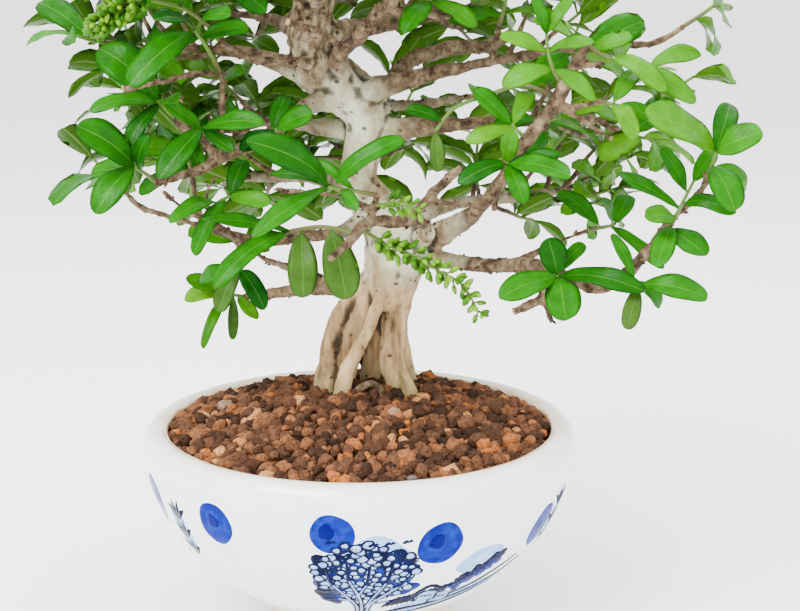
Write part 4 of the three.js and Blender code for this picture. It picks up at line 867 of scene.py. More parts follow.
def round_chart(half_width, half_height, tilt, steps, ripple, seed):
    """A square grid pressed into an ellipse: (x sqrt(1 - y*y/2), y sqrt(1 - x*x/2)). It is swelled at an
    angle a by 1 + ripple * away^2 * (sin(3 a + seed) + 0.7 sin(5 a + 2.3 seed)) and turned by the tilt."""
    x, y = np.meshgrid(np.linspace(-1, 1, steps), np.linspace(-1, 1, steps))
    u, v = x * np.sqrt(1 - y * y / 2), y * np.sqrt(1 - x * x / 2)
    away = np.hypot(u, v)
    angle = np.arctan2(v, u)
    swell = 1 + ripple * away**2 * (np.sin(3 * angle + seed) + 0.7 * np.sin(5 * angle + 2.3 * seed))
    u, v = u * swell * half_width, v * swell * half_height
    turn = np.radians(tilt)
    chart = np.stack([u * np.cos(turn) - v * np.sin(turn), u * np.sin(turn) + v * np.cos(turn)], -1)
    return chart, away


def stroke_chart(points, widths):
    """A brush stroke: a ribbon along the smooth path through the points, as wide as the widths say."""
    stations = [(x, y, 0, width) for (x, y), width in zip(points, widths)]
    path = smooth_path(stations, STROKE_SPACING)
    along = unit(np.gradient(path[:, :2], axis=0))
    across = np.stack([along[:, 1], -along[:, 0]], -1)
    half = np.maximum(path[:, 3:4], LEAST_STROKE) / 2
    chart = np.stack([path[:, :2] + across * half, path[:, :2] - across * half], 1)
    return chart[:, ::-1], np.full(chart.shape[:2], 0.5)


def disc(gathered, centre, half_width, half_height, tilt, dot, dot_size, seed):
    """A round of cobalt with a darker dot near its middle."""
    chart, away = round_chart(half_width, half_height, tilt, steps=16, ripple=0.02, seed=seed)
    add_paint(gathered, chart, centre, DISC_HEIGHT, away, BRUSHED)
    chart, away = round_chart(dot_size, 1.15 * dot_size, tilt, steps=8, ripple=0.07, seed=seed + 1)
    add_paint(gathered, chart + np.array(dot), centre, DOT_HEIGHT, away, DOT)


def scenery(gathered, turn):
    """A spreading tree with pale round leaf cells on dark ground, huts behind a fence, and a small tree.
    What is painted later stands a little higher."""
    rng = np.random.default_rng(11)
    foot = (SCENERY_FOOT[0] + turn, SCENERY_FOOT[1])
    heights = iter(np.arange(*SCENERY_HEIGHTS))

    def blot(x, y, half_width, half_height, colour, steps, ripple, tilt=0):
        chart, away = round_chart(half_width, half_height, tilt, steps, ripple, x + y)
        add_paint(gathered, chart + np.array([x, y]), foot, next(heights), away, colour)

    def stroke(points, widths, colour=LINE):
        chart, tones = stroke_chart(points, widths)
        add_paint(gathered, chart, foot, next(heights), tones, colour)

    for x, y, half_width, half_height, ripple, tilt in WASHES:
        blot(x, y, half_width, half_height, WASH, 12, ripple=ripple, tilt=tilt)
    for k, (x, y, half_width, half_height) in enumerate(CROWN_BLOTS):
        blot(x, y, half_width, half_height, (LINE, BRUSHED)[k % 2], 9, 0.16)
    for k in range(CELLS):
        away = CELLS_REACH * np.sqrt((k + 0.5) / CELLS)
        angle = GOLDEN_TURN * k * np.pi / 180
        x = CELLS_CENTRE[0] + away * np.cos(angle) + rng.uniform(*CELL_STRAY)
        y = CELLS_CENTRE[1] + CELLS_HEIGHTENED * away * np.sin(angle) + rng.uniform(*CELL_STRAY)
        size = rng.uniform(*CELL_SIZES) + (LOW_LEFT_SWELL if x < -3 and y < 26 else 0)
        if rng.random() < CELL_SHARE:
            height = size * rng.uniform(0.9, 1.25)
            blot(x, y, size + CELL_RIM, height + CELL_RIM, LINE, 5, 0.06)
            blot(x, y, size, height, CELL, 6, 0.06)
    for points, widths in TREE_STROKES:
        stroke(points, widths)
    for points, widths in TREE_STROKES:
        stroke(points[:-1], [LIGHT_ON_STROKE * width for width in widths[:-1]], CELL)
    for x, y, width in BIRDS:
        wings = [(x, y - 0.6), (x + 0.35 * width, y + 0.5), (x + 0.6 * width, y), (x + width, y + 0.8)]
        stroke(wings, (0.9, 1.3, 0.8, 1.2))
    for points, widths in GROUND_STROKES:
        stroke(points, widths)
    for k in range(FENCE_PALES):
        x, y = 8 + 1.7 * k, 4 + 0.6 * k
        stroke([(x, y), (x + 2.2, y + 4), (x + 5.5, y + 9)], (0.7, 1.9, 0.7))
    for x, y in HUTS:
        blot(x, y - 2, 4.2, 4, CELL, 7, 0.03)
        for points, widths in HUT_STROKES:
            stroke([(x + right, y + up) for right, up in points], widths)
    for k, (x, y) in enumerate(SMALL_TREE):
        blot(x, y, 2.8, 2.9, LINE, 7, 0.2)
        blot(x - 0.4, y - 3.4, 2.2, 2.4, BRUSHED, 5, 0.2)
        stroke([(x + 0.8, y - 1), (x - 1.0 + 0.2 * k, y - 7 + 0.6 * k)], (1.3, 0.7))


def reeds(gathered, turn):
    """Three tufts of broad strokes, one above the other, on a pale wash."""
    centre = (REEDS_CENTRE[0] + turn, REEDS_CENTRE[1])
    chart, away = round_chart(half_width=5, half_height=12, tilt=4, steps=12, ripple=0.1, seed=2)
    add_paint(gathered, chart, centre, REED_WASH_HEIGHT, away, WASH)
    for y in REED_TUFTS:
        for lean, reach in REED_STROKES:
            points = [(0.1 * lean, y - 2.5), (0.6 * lean, y + 0.3 * reach), (1.2 * lean, y + reach)]
            chart, tones = stroke_chart(points, (1.2, 2.4, 0.5))
            add_paint(gathered, chart, centre, REED_HEIGHT + 0.004 * lean, tones, LINE)


def make_bowl():
    """The smooth profile turned round the axis, with the painting as thin plaques in the glaze and the worn
    line of the lip."""
    body, painting, stain = Gathered(), Gathered(), Gathered()
    add_lathe(body, np.vstack([OUTER, smooth_profile(BOWL_INSIDE, 1.5), BOWL_UNDERSIDE]), BOWL_SIDES)
    body.build("glazed_bowl", [GLAZE], "porcelain", ["bowl"])
    for seed, (degrees, arc, *shape) in enumerate(DISCS):
        disc(painting, (degrees, arc), *shape, seed)
    for turn in SCENE_TURNS:
        scenery(painting, turn)
        reeds(painting, turn)
    painting.build("blue_painting", PAINTS, "porcelain")
    add_lathe(stain, LIP_STAIN, BOWL_SIDES)
    stain.build("lip_stain", [STAIN], "porcelain")


# Soil

SOIL_BED = [(0.5, 11.7), (33, 10.5), (55.5, 25.3), (80.0, 64.3), (79.0, 76)]
BED_BELOW = 2.6
# Layers of grains: their pitch and how far their centres stand above the soil's surface.
GRAIN_LAYERS = [(4.5, -1.7), (4.9, 0.4)]
GRAIN_STRAY = 1.3
GRAIN_LEVEL_STRAY = 0.9
GRAIN_SIZES = (1.9, 3.5)
BIG_GRAINS = 0.15
BIG_GRAIN_SCALE = 1.35
GRAIN_AROUND, GRAIN_RINGS = 8, 5
GRAIN_WAVES = 5
GRAIN_WAVINESS = 1.9
GRAIN_LUMPS = 0.10
GRAIN_STRETCH = [(0.85, 1.25), (0.75, 1.0), (0.65, 0.9)]
GRAIN_PIECES = 3


def soil_height(x, y):
    """Rim + rise * (1 - (distance / radius) squared) to a power, over the bowl's inside."""
    inward = np.maximum(0, 1 - (x * x + y * y) / SOIL_RADIUS**2)
    return SOIL_RIM + SOIL_RISE * inward**SOIL_STEEPNESS


def grain_places(rng):
    """Centres and sizes of the grains: layers of a straying triangular grid, clear of bowl and roots."""
    layers = []
    for pitch, above in GRAIN_LAYERS:
        reach = int(SOIL_RADIUS / pitch) + 2
        steps = np.arange(-reach, reach + 1)
        row, column = np.meshgrid(steps, steps, indexing="ij")
        x = pitch * (column + 0.5 * (row % 2)) + rng.uniform(-GRAIN_STRAY, GRAIN_STRAY, row.shape)
        y = pitch * row * np.sqrt(0.75) + rng.uniform(-GRAIN_STRAY, GRAIN_STRAY, row.shape)
        level = above + rng.uniform(-GRAIN_LEVEL_STRAY, GRAIN_LEVEL_STRAY, row.shape)
        layers.append(np.stack([x, y, level], -1).reshape(-1, 3))
    places = np.vstack(layers)
    count = len(places)
    sizes = rng.uniform(*GRAIN_SIZES, count) * np.where(rng.random(count) < BIG_GRAINS, BIG_GRAIN_SCALE, 1)
    x, y, level = places.T
    kept = np.hypot(x, y) + 0.6 * sizes < SOIL_RADIUS + 0.4
    for stations in ROOTS.values():
        foot_x, foot_y, _, radius = stations[0]
        kept &= np.hypot(x - foot_x, y - foot_y) > radius - 0.5
    return np.column_stack([x, y, soil_height(x, y) + level])[kept], sizes[kept]


def turning(quaternions):
    """The matrix that turns by each unit quaternion w, i, j, k."""
    w, i, j, k = quaternions.T
    return np.stack([
        np.stack([1 - 2 * (j * j + k * k), 2 * (i * j - k * w), 2 * (i * k + j * w)], -1),
        np.stack([2 * (i * j + k * w), 1 - 2 * (i * i + k * k), 2 * (j * k - i * w)], -1),
        np.stack([2 * (i * k - j * w), 2 * (j * k + i * w), 1 - 2 * (i * i + j * j)], -1)], 1)


def make_soil():
    """A near-black bed, painted shade for the gaps between grains, under two layers of loose grains. Each
    grain is a ball (sin p cos a, sin p sin a, cos p) whose radius is 1 + a tenth of the sum of five sine
    waves, of its own size, stretch and turn."""
    bed = Gathered()
    radii = np.linspace(SOIL_RADIUS - 0.5, 0.5, 24)
    add_lathe(bed, [*SOIL_BED, *((radius, soil_height(radius, 0.0) - BED_BELOW) for radius in radii)], 64)
    # The bed's near-black colour is painted shade for the gaps between the grains.
    bed.build("shaded_soil_bed", [GRAIN_GAP_SHADE], "soil", ["soil"])
    rng = np.random.default_rng(5)
    centres, sizes = grain_places(rng)
    count = len(centres)
    shades = np.clip(rng.beta(1.3, 1.7, count), 0, 1)
    polar = (np.pi * (np.arange(GRAIN_RINGS) + 0.55) / (GRAIN_RINGS + 0.1))[:, None]
    angles = angles_round(GRAIN_AROUND)
    ball = np.stack([np.sin(polar) * np.cos(angles), np.sin(polar) * np.sin(angles),
        np.broadcast_to(np.cos(polar), (GRAIN_RINGS, GRAIN_AROUND))], -1).reshape(-1, 3)
    waves = rng.normal(size=(count, GRAIN_WAVES, 3)) * GRAIN_WAVINESS
    phases = rng.uniform(0, 2 * np.pi, (count, GRAIN_WAVES, 1))
    lumps = 1 + GRAIN_LUMPS * np.sin(waves @ ball.T + phases).sum(1)
    stretch = np.column_stack([rng.uniform(*span, count) for span in GRAIN_STRETCH])
    local = ball[None] * (lumps * sizes[:, None])[..., None] * stretch[:, None]
    turns = turning(unit(rng.normal(size=(count, 4))))
    points = centres[:, None] + np.einsum("nab,nmb->nma", turns, local)
    for part, chosen in enumerate(np.array_split(np.arange(count), GRAIN_PIECES)):
        grains = Gathered()
        grains.add(points[chosen], *repeated(GRAIN_RINGS, GRAIN_AROUND, len(chosen)), shades[chosen])
        grains.build(f"clay_grains_{part + 1}", [CLAY], "soil", smooth=False)


# Wood

SKIN_VOXEL = 0.9
SKIN_SMOOTHING = 3
PALE_REACH = 13
PALE_BEHIND = 0.3
HOLLOW_STEPS = 40
HOLLOW_DEPTH = 0.62
TRUNK_PATH = np.vstack([smooth_path(stations, 3) for stations in
    (TRUNK, BOUGHS["elbow"], BOUGHS["front_centre"][:2], *ROOTS.values())])
ROOT_SWELL = {"between": 1.9, "rear": 1.8, "back_left": 1.2}
SURFACE_ROOT = [(-3, -3, 95, 1.5), (-0.5, -4, 101.5, 1.7), (4, -4.5, 104.5, 1.6), (8, -4, 102.5, 1.5),
    (10.5, -3, 95, 1.4)]
CUT_BOUGHS = ("stub", "peg", "arm")
CUT_AROUND = 12
# Rings of a cut face: how far past the bough's end, share of its radius, and tone.
CUT_RINGS = [(-0.6, 1.02, 0.1), (0.25, 1.02, 0.25), (0.32, 0.7, 0.8), (0.3, 0.12, 1.0)]
# Bud scales: how many for a step along a bough, share of long ones, and spans of the lengths.
SCALES_A_STEP = 0.9
LONG_SHARE = 0.45
LONG_SCALE = (1.6, 2.8)
SHORT_SCALE = (0.8, 1.5)
SCALE_BEAD = {"around": 5, "rings": 4, "fullness": 1.5}


def bark_relief(points, trunk_share):
    """Uneven bark in millimetres, as noise of several cell sizes: on the trunk swellings of 9 mm, ridges of
    2.6 mm drawn out along it and knobs of 6.5 and 3.2 mm in the crown; on the boughs swellings of 6 mm
    and lumps of 2.6 mm; and fine grain of 1.5 mm everywhere."""
    drawn_out = points * np.array([1, 1, 0.35])
    in_crown = risen(points[:, 2], 215, 25)
    knobs = np.abs(lattice_noise(points, 6.5, 6)) + 0.6 * np.abs(lattice_noise(points, 3.2, 7))
    trunk = (0.6 * lattice_noise(points, 9, 1) + 0.6 * lattice_noise(drawn_out, 2.6, 2)
        + in_crown * (1.5 * knobs - 0.6))
    bough = 0.5 * lattice_noise(points, 6.0, 8) + 0.35 * lattice_noise(points, 2.6, 4)
    return trunk_share * trunk + (1 - trunk_share) * bough + 0.22 * lattice_noise(points, 1.5, 3)


def twig_relief(points):
    """Small lumps in millimetres, as noise of 3.5 and 1.4 mm cells."""
    return 0.3 * lattice_noise(points, 3.5, 8) + 0.2 * lattice_noise(points, 1.4, 4)


def nearness_to_trunk(points):
    """1 up to 1 mm off the trunk and roots, down to 0 over the next PALE_REACH millimetres. Boughs behind
    have at least a part of PALE_BEHIND, which grows to the whole from 15 to 45 mm back."""
    off = np.linalg.norm(points[:, None] - TRUNK_PATH[None, :, :3], axis=2) - TRUNK_PATH[None, :, 3]
    behind = PALE_BEHIND * risen(points[:, 1], 15, 30)
    return np.maximum(1 - risen(np.min(off, axis=1), 1, PALE_REACH), behind)


def hollowness(mesh, points, normals):
    """How far each point lies inside its surroundings, for the painted shade in hollows: the mean of its
    neighbours, taken HOLLOW_STEPS times, less the point, along the normal and over HOLLOW_DEPTH millimetres."""
    edges = fetch(mesh.edges, "vertices", 2, np.int32)
    first, second = edges.T
    count = np.bincount(edges.reshape(-1), minlength=len(points))[:, None]
    spread = points
    for _ in range(HOLLOW_STEPS):
        total = np.stack([np.bincount(first, spread[second, axis], len(points))
            + np.bincount(second, spread[first, axis], len(points)) for axis in range(3)], 1)
        spread = 0.5 * spread + 0.5 * total / count
    return np.clip(((spread - points) * normals).sum(1) / HOLLOW_DEPTH, 0, 1)


def one_skin(piece):
    """The piece's overlapping tubes made one skin, smoothed, toned and moved out by the bark's relief."""
    remesh = piece.modifiers.new("one_skin", "REMESH")
    remesh.mode = "VOXEL"
    remesh.voxel_size = SKIN_VOXEL * MILLIMETRE
    soften = piece.modifiers.new("soften", "SMOOTH")
    soften.factor = 0.5
    soften.iterations = SKIN_SMOOTHING
    mesh = bpy.data.meshes.new_from_object(piece.evaluated_get(bpy.context.evaluated_depsgraph_get()))
    piece.modifiers.clear()
    piece.data = mesh
    points = fetch(mesh.vertices, "co", 3)
    normals = fetch(mesh.vertex_normals, "vector", 3)
    places = (points - BOWL_AXIS) / MILLIMETRE
    trunk_share = nearness_to_trunk(places)
    lift = bark_relief(places, trunk_share) * MILLIMETRE
    moved = points + normals * lift[:, None]
    fill(mesh.vertices, "co", moved)
    # Painted shade: how deep each point lies in a hollow, which the bark darkens.
    set_values(mesh, "hollow_shade", hollowness(mesh, (moved - BOWL_AXIS) / MILLIMETRE, normals))
    set_values(mesh, "tone", trunk_share)
    fill(mesh.polygons, "use_smooth", np.ones(len(mesh.polygons)), bool)
    mesh.update()


def make_wood():
    """Trunk, bare roots and boughs in one skin, and the root that lies on the soil in front."""
    wood = Gathered()
    add_tube(wood, TRUNK, around=24, spacing=2)
    for name, stations in ROOTS.items():
        swell = ROOT_SWELL.get(name, 1)
        add_tube(wood, [(x, y, z, swell * radius) for x, y, z, radius in stations], around=16, spacing=2)
    for stations in [*BOUGHS.values(), *(stations for _, _, stations in LEAFY_BOUGHS.values())]:
        add_tube(wood, stations, around=12, spacing=2)
    one_skin(wood.build("trunk_roots_and_boughs", [BARK], "bark", ["tree"]))
    surface_root = Gathered()
    add_tube(surface_root, SURFACE_ROOT, around=12, spacing=1.2, relief=twig_relief, tone=0)
    surface_root.build("surface_root", [BARK], "bark")


def make_cuts():
    """Pale cut faces at the ends of stubs: rings of the bough's end section, ahead of it and narrowing."""
    cuts = Gathered()
    for name, stations in BOUGHS.items():
        if not any(kind in name for kind in CUT_BOUGHS):
            continue
        path = smooth_path(stations, 1.5)
        alongs, normals, acrosses = frames_along(path[:, :3])
        end, radius = path[-1, :3], path[-1, 3]
        angles = angles_round(CUT_AROUND)[:, None]
        ring = normals[-1] * np.cos(angles) + acrosses[-1] * np.sin(angles)
        points = np.stack([end + alongs[-1] * ahead + ring * radius * share for ahead, share, _ in CUT_RINGS])
        cuts.add(points, *closed_grid(len(CUT_RINGS), CUT_AROUND), [tone for _, _, tone in CUT_RINGS])
    cuts.build("cut_ends", [CUT], "bark")


def bough_scales():
    """Brown bud scales on the boughs, at places along and round them drawn by chance, leaning onward."""
    rng = np.random.default_rng(21)
    scales = Gathered()
    for stations in BOUGHS.values():
        path = smooth_path(stations, 1.5)
        centres, radii = path[:, :3], path[:, 3]
        alongs, normals, acrosses = frames_along(centres)
        count = int(len(path) * SCALES_A_STEP)
        places = rng.choice(len(path), count)
        angle = rng.uniform(0, 2 * np.pi, count)[:, None]
        outward = normals[places] * np.cos(angle) + acrosses[places] * np.sin(angle)
        is_long = rng.random(count) < LONG_SHARE
        spots = centres[places] + outward * (radii[places] * rng.uniform(0.8, 1.05, count))[:, None]
        directions = unit(outward + alongs[places] * rng.uniform(0.3, 1.4, count)[:, None])
        lengths = np.where(is_long, rng.uniform(*LONG_SCALE, count), rng.uniform(*SHORT_SCALE, count))
        add_ovoids(scales, spots, directions, lengths, 0.6 * lengths, rng.uniform(0, 1, count), **SCALE_BEAD)
    return scales


# Leaves and shoots

# A blade: share of its length that is petiole, powers of its outline from base and tip, least half width,
# its edge's waves, and how deep the midrib stands out below.
PETIOLE_SHARE = 0.05
BASE_POWER, TIP_POWER = 0.62, 0.42
LEAST_HALF = 0.12
EDGE_WAVE = 0.022
EDGE_WAVES = 1.6
RIB_DEPTH = 0.35
ARCH_STRAY = (-0.05, 0.09)
SWAY = (-0.05, 0.05)
LEAFY = [LEAF, SHOOT]
BUDDING = [BUD, SHOOT, LEAF]
# Columns and rows of a blade's grid.
FINE_BLADE = (12, 20)
PLAIN_BLADE = (8, 8)
HANGING = -0.85
TWIG_SUNK = 1.5
SCALES_A_TWIG = 5
TWIG_SCALE_LENGTH = 1.9
TWIG_SCALE_WIDTH = 1.1


def listed(leaves, *keys):
    """An array of the leaves' values for each key."""
    return [np.array([leaf[key] for leaf in leaves], float) for key in keys]


def add_leaves(gathered, leaves, tones, grid, finish=0):
    """Closed blades. With v from base to tip, t from the petiole's end to the tip and p across from -1 to 1,
    half the width is width/2 * t^0.62 * (1 - t)^0.42 over its greatest value. The blade rises by
    4 * arch * length * v(1 - v), by fold * |p| * half and by a wave sin(3.2 pi v) * p^2 at its edges, and
    it sways by 2 * sway * length * v^2 (1 - v)."""
    columns, rows = grid
    bases, tips, widths, lights = listed(leaves, "base", "tip", "width", "light")
    lengths = np.linalg.norm(tips - bases, axis=1)
    along = unit(tips - bases)
    turned = np.cross(along, lights)
    level = np.cross(along, references(along))
    across = unit(np.where(np.linalg.norm(turned, axis=1, keepdims=True) < LEAST_LIGHT_ANGLE, level, turned))
    facing = np.cross(across, along)
    rng = np.random.default_rng(len(leaves) + int(1000 * abs(tips[0, 0])))
    arch = BLADE_ARCH + rng.uniform(*ARCH_STRAY, len(leaves))
    sway = rng.uniform(*SWAY, len(leaves))
    phase = rng.uniform(0, 2 * np.pi, len(leaves))

    v = (1 - np.cos(np.pi * np.linspace(0, 1, rows))) / 2
    t = np.clip((v - PETIOLE_SHARE) / (1 - PETIOLE_SHARE), 0, 1)
    powers = BASE_POWER + TIP_POWER
    greatest = BASE_POWER**BASE_POWER * TIP_POWER**TIP_POWER / powers**powers
    outline = t**BASE_POWER * (1 - t) ** TIP_POWER / greatest
    least = np.where(v < 0.5, PETIOLE_HALF * (1 - 0.5 * v), LEAST_HALF)
    half = np.maximum(outline[None] * widths[:, None] / 2, least[None])
    top = columns // 2 + 1
    p = np.concatenate([np.linspace(-1, 1, top), np.linspace(1, -1, top)[1:-1]])
    below = np.concatenate([np.zeros(top), np.ones(columns - top)])

    sideways = p[None, None] * half[..., None]
    rise = 4 * arch[:, None] * lengths[:, None] * (v * (1 - v))[None]
    fold = BLADE_FOLD * np.abs(sideways) * (1 - 0.25 * p**2)
    crests = np.sin(2 * np.pi * EDGE_WAVES * v[None] + phase[:, None])[..., None]
    wave = EDGE_WAVE * crests * (p**2 * np.sign(p))[None, None]
    thickness = BLADE_THICKNESS * (1 - 0.6 * p**2) * below
    rib = RIB_DEPTH * below * (np.abs(p) < 0.05)
    height = rise[..., None] + fold + wave * lengths[:, None, None] - thickness - rib * (1 - v)[None, :, None]
    drift = (sway * lengths)[:, None] * (v**2)[None] * (1 - v[None]) * 2
    onward = v[None, :, None] * lengths[:, None, None]
    points = (bases[:, None, None] + along[:, None, None] * onward[..., None]
        + across[:, None, None] * (sideways + drift[..., None])[..., None]
        + facing[:, None, None] * height[..., None])
    gathered.add(points, *repeated(rows, columns, len(leaves)), tones, finish)


def leaf_tones_with_backlight(leaves, rng, spread=0.12):
    """Tone of each leaf: 0.3 in front, up to 0.35 more at the back and 0.4 more high on the right, where the
    leaf finish paints light shining through. Leaves that hang straight down show their dull side, tone 1."""
    bases, tips = listed(leaves, "base", "tip")
    x, y, z = bases.T
    # Painted light: leaves towards the back and high on the right get brighter tones, as if lit through.
    behind = risen(y, -25, 80)
    high_right_backlight = risen(x, 35, 50) * risen(z, 195, 35)
    tones = np.clip(0.3 + 0.35 * behind + 0.4 * high_right_backlight + rng.normal(0, spread, len(leaves)), 0, 0.9)
    return np.where(unit(tips - bases)[:, 2] < HANGING, 1.0, tones)


def along_path(points, share):
    """The point a share of the way along, counted in spans, and the direction there."""
    points = np.array(points, float)
    spans = len(points) - 1
    span = min(int(share * spans), spans - 1)
    start, end = points[span], points[span + 1]
    return start + (end - start) * (share * spans - span), unit(end - start)


def level_and_over(along):
    """Sideways and upward directions square to a shoot or bough."""
    level = unit(np.cross(along, UP))
    return level, np.cross(level, along)


def twig_and_shoot(stations, twigs, turn_degrees, bough_index, twig_index):
    """Points of a twig and of the shoot on it, and the draws that its leaves go on with. The twigs stand at
    equal steps along the bough, each turned on by the golden turn: level cos a + over sin a, flattened."""
    draw = draws(100 * bough_index + twig_index + 1)
    share = FIRST_TWIG_AT + (1 - FIRST_TWIG_AT) * (twig_index + 1) / twigs
    point, along = along_path(np.array(stations, float)[:, :3], share)
    level, over = level_and_over(along)
    turn = np.radians(turn_degrees + GOLDEN_TURN * twig_index)
    side = level * np.cos(turn) + over * TWIG_FLATTENING * np.sin(turn)
    habit = TIP_TWIG if twig_index == twigs - 1 else SIDE_TWIG
    direction = unit(along * habit["onward"] + side * habit["sideways"] + UP * UPWARD_TWIG)
    length = within(habit["length"], draw)
    bend = point + direction * TWIG_BEND_AT * length
    end = point + direction * length + UP * TWIG_TIP_RISE * length
    onward = unit(direction + UP * UPWARD_SHOOT * next(draw))
    reach = within(SHOOT_LENGTH, draw)
    stem = [end, end + onward * reach / 2, end + onward * reach + UP * SHOOT_TIP_RISE]
    return [point, bend, end], stem, draw


def shoot_leaves(stem, draw):
    """Pairs of leaves by the CAD model's rule; the first pair's second leaf comes last. Each leaf goes by
    along cos s + outward sin s, where outward turns a little to and fro from pair to pair."""
    start = 360 * next(draw)
    leaves = []
    for pair, sign in ((0, 1), (1, 1), (1, -1), (2, 1), (2, -1), (0, -1)):
        share, size, spreads = LEAF_PAIRS[pair]
        point, along = along_path(stem, share)
        level, over = level_and_over(along)
        turn = np.radians(PAIR_TURN * np.sin(np.radians(start + 90 * pair)))
        outward = level * sign * np.cos(turn) + over * np.sin(turn)
        spread = np.radians(within(spreads, draw))
        direction = unit(along * np.cos(spread) + outward * np.sin(spread) + UP * within(LEAF_LIFT, draw))
        length = size * within(LEAF_LENGTH, draw)
        width = length * within(LEAF_SLIMNESS, draw)
        outside = (point - CROWN_AXIS) * np.array([1, 1, 0])
        stray = LIGHT_STRAY * np.array([within((-1, 1), draw) for _ in range(3)])
        light = unit(outside) * LIGHT_FROM_OUTSIDE + UP * LIGHT_FROM_ABOVE + stray
        leaves.append({"base": point, "tip": point + direction * length, "width": width, "light": light})
    return leaves


def add_stem(gathered, points, radii, around, spacing, **more):
    """A tube along the points, with a radius that goes evenly from the first to the last."""
    stations = [(*point, radius) for point, radius in zip(points, np.linspace(*radii, len(points)))]
    add_tube(gathered, stations, around, spacing, **more)


def add_placed_leaves(gathered, stem, leaves, rng, finish=0):
    """Leaves from a share of the stem to a tip, turned to the light in front."""
    blades = [{"base": along_path(stem, share)[0], "tip": tip, "width": width, "light": FRONT_LIGHT}
        for share, tip, width in leaves]
    add_leaves(gathered, blades, leaf_tones_with_backlight(blades, rng), FINE_BLADE, finish)


def make_placed_shoots():
    """The shoots that the photo shows in front, one piece each."""
    for number, (name, (stem, leaves)) in enumerate(PLACED_SHOOTS.items()):
        shoot = Gathered()
        add_placed_leaves(shoot, stem, leaves, np.random.default_rng(100 + number))
        add_stem(shoot, stem, (0.95, 0.6), around=8, spacing=1.2, finish=LEAFY.index(SHOOT))
        shoot.build(f"leafy_{name}", LEAFY, "leaf", [f"shoot_{name}"])


# The crown is thin high on the right and low on the left, past these x and z. The boughs behind the trunk
# and high on the right bear more twigs: one in every third gap between the first ones, turned on.
THIN_RIGHT = (98, 236)
THIN_LEFT = (-88, 192)
DENSE_BOUGHS = ("rightBack", "leftBack", "back", "rightBackHigh", "backHigh", "leftMidBack", "rightHigh")
FIRST_GAP = 2
GAP_STEP = 6
MORE_TURN = 160
MORE_SEED = 40


def where_thin(point):
    """Whether a point lies in one of the crown's thin corners."""
    x, _, z = point
    return (x > THIN_RIGHT[0] and z > THIN_RIGHT[1]) or (x < THIN_LEFT[0] and z < THIN_LEFT[1])


def add_twig(wood, scales, rng, twig, stem):
    """A woody twig let into its bough, with scales at the foot of the green shoot that it bears."""
    foot, bend, end = twig
    start = foot - TWIG_SUNK * unit(bend - foot)
    add_stem(wood, [start, bend, end], (1.3, 0.95), around=7, spacing=1.3, relief=twig_relief, tone=0)
    directions = unit(rng.normal(size=(SCALES_A_TWIG, 3)) + 1.2 * unit(stem[1] - stem[0]))
    lengths = np.full(SCALES_A_TWIG, TWIG_SCALE_LENGTH)
    widths = np.full(SCALES_A_TWIG, TWIG_SCALE_WIDTH)
    tones = rng.uniform(0, 1, SCALES_A_TWIG)
    add_ovoids(scales, end + 0.6 * directions, directions, lengths, widths, tones, **SCALE_BEAD)


def add_shoot(shoot, rng, stem, draw):
    """A green shoot with its seeded pairs of leaves."""
    leaves = shoot_leaves(stem, draw)
    add_leaves(shoot, leaves, leaf_tones_with_backlight(leaves, rng, 0.16), PLAIN_BLADE)
    add_stem(shoot, stem, (0.9, 0.6), around=6, spacing=2.5, finish=LEAFY.index(SHOOT))


def make_seeded_shoots(scales):
    """One piece for each of the CAD model's sprays, and one more on each bough for the twigs between."""
    rng = np.random.default_rng(31)
    for bough_index, (name, (twigs, turn, stations)) in enumerate(LEAFY_BOUGHS.items()):
        between, wood = Gathered(), Gathered()
        for twig_index in range(twigs):
            node = f"spray_{name}_{twig_index + 1}"
            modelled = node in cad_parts
            twig, stem, draw = twig_and_shoot(stations, twigs, turn, bough_index, twig_index)
            if not modelled and where_thin(stem[-1]):
                continue
            shoot = Gathered() if modelled else between
            add_shoot(shoot, rng, stem, draw)
            add_twig(wood, scales, rng, twig, stem)
            if modelled:
                shoot.build(f"leafy_{name}_{twig_index + 1}", LEAFY, "leaf", [node])
        for twig_index in range(FIRST_GAP, 2 * twigs if name in DENSE_BOUGHS else 0, GAP_STEP):
            twig, stem, draw = twig_and_shoot(stations, 2 * twigs, turn + MORE_TURN,
                bough_index + MORE_SEED, twig_index)
            if not where_thin(stem[-1]):
                add_shoot(between, rng, stem, draw)
                add_twig(wood, scales, rng, twig, stem)
        between.build(f"leafy_{name}_between", LEAFY, "leaf")
        wood.build(f"twigs_{name}", [BARK], "bark")


# Flowering stems

BUD_SLIMNESS = 0.52
BUD_BEAD = {"around": 6, "rings": 5, "fullness": 0.85}


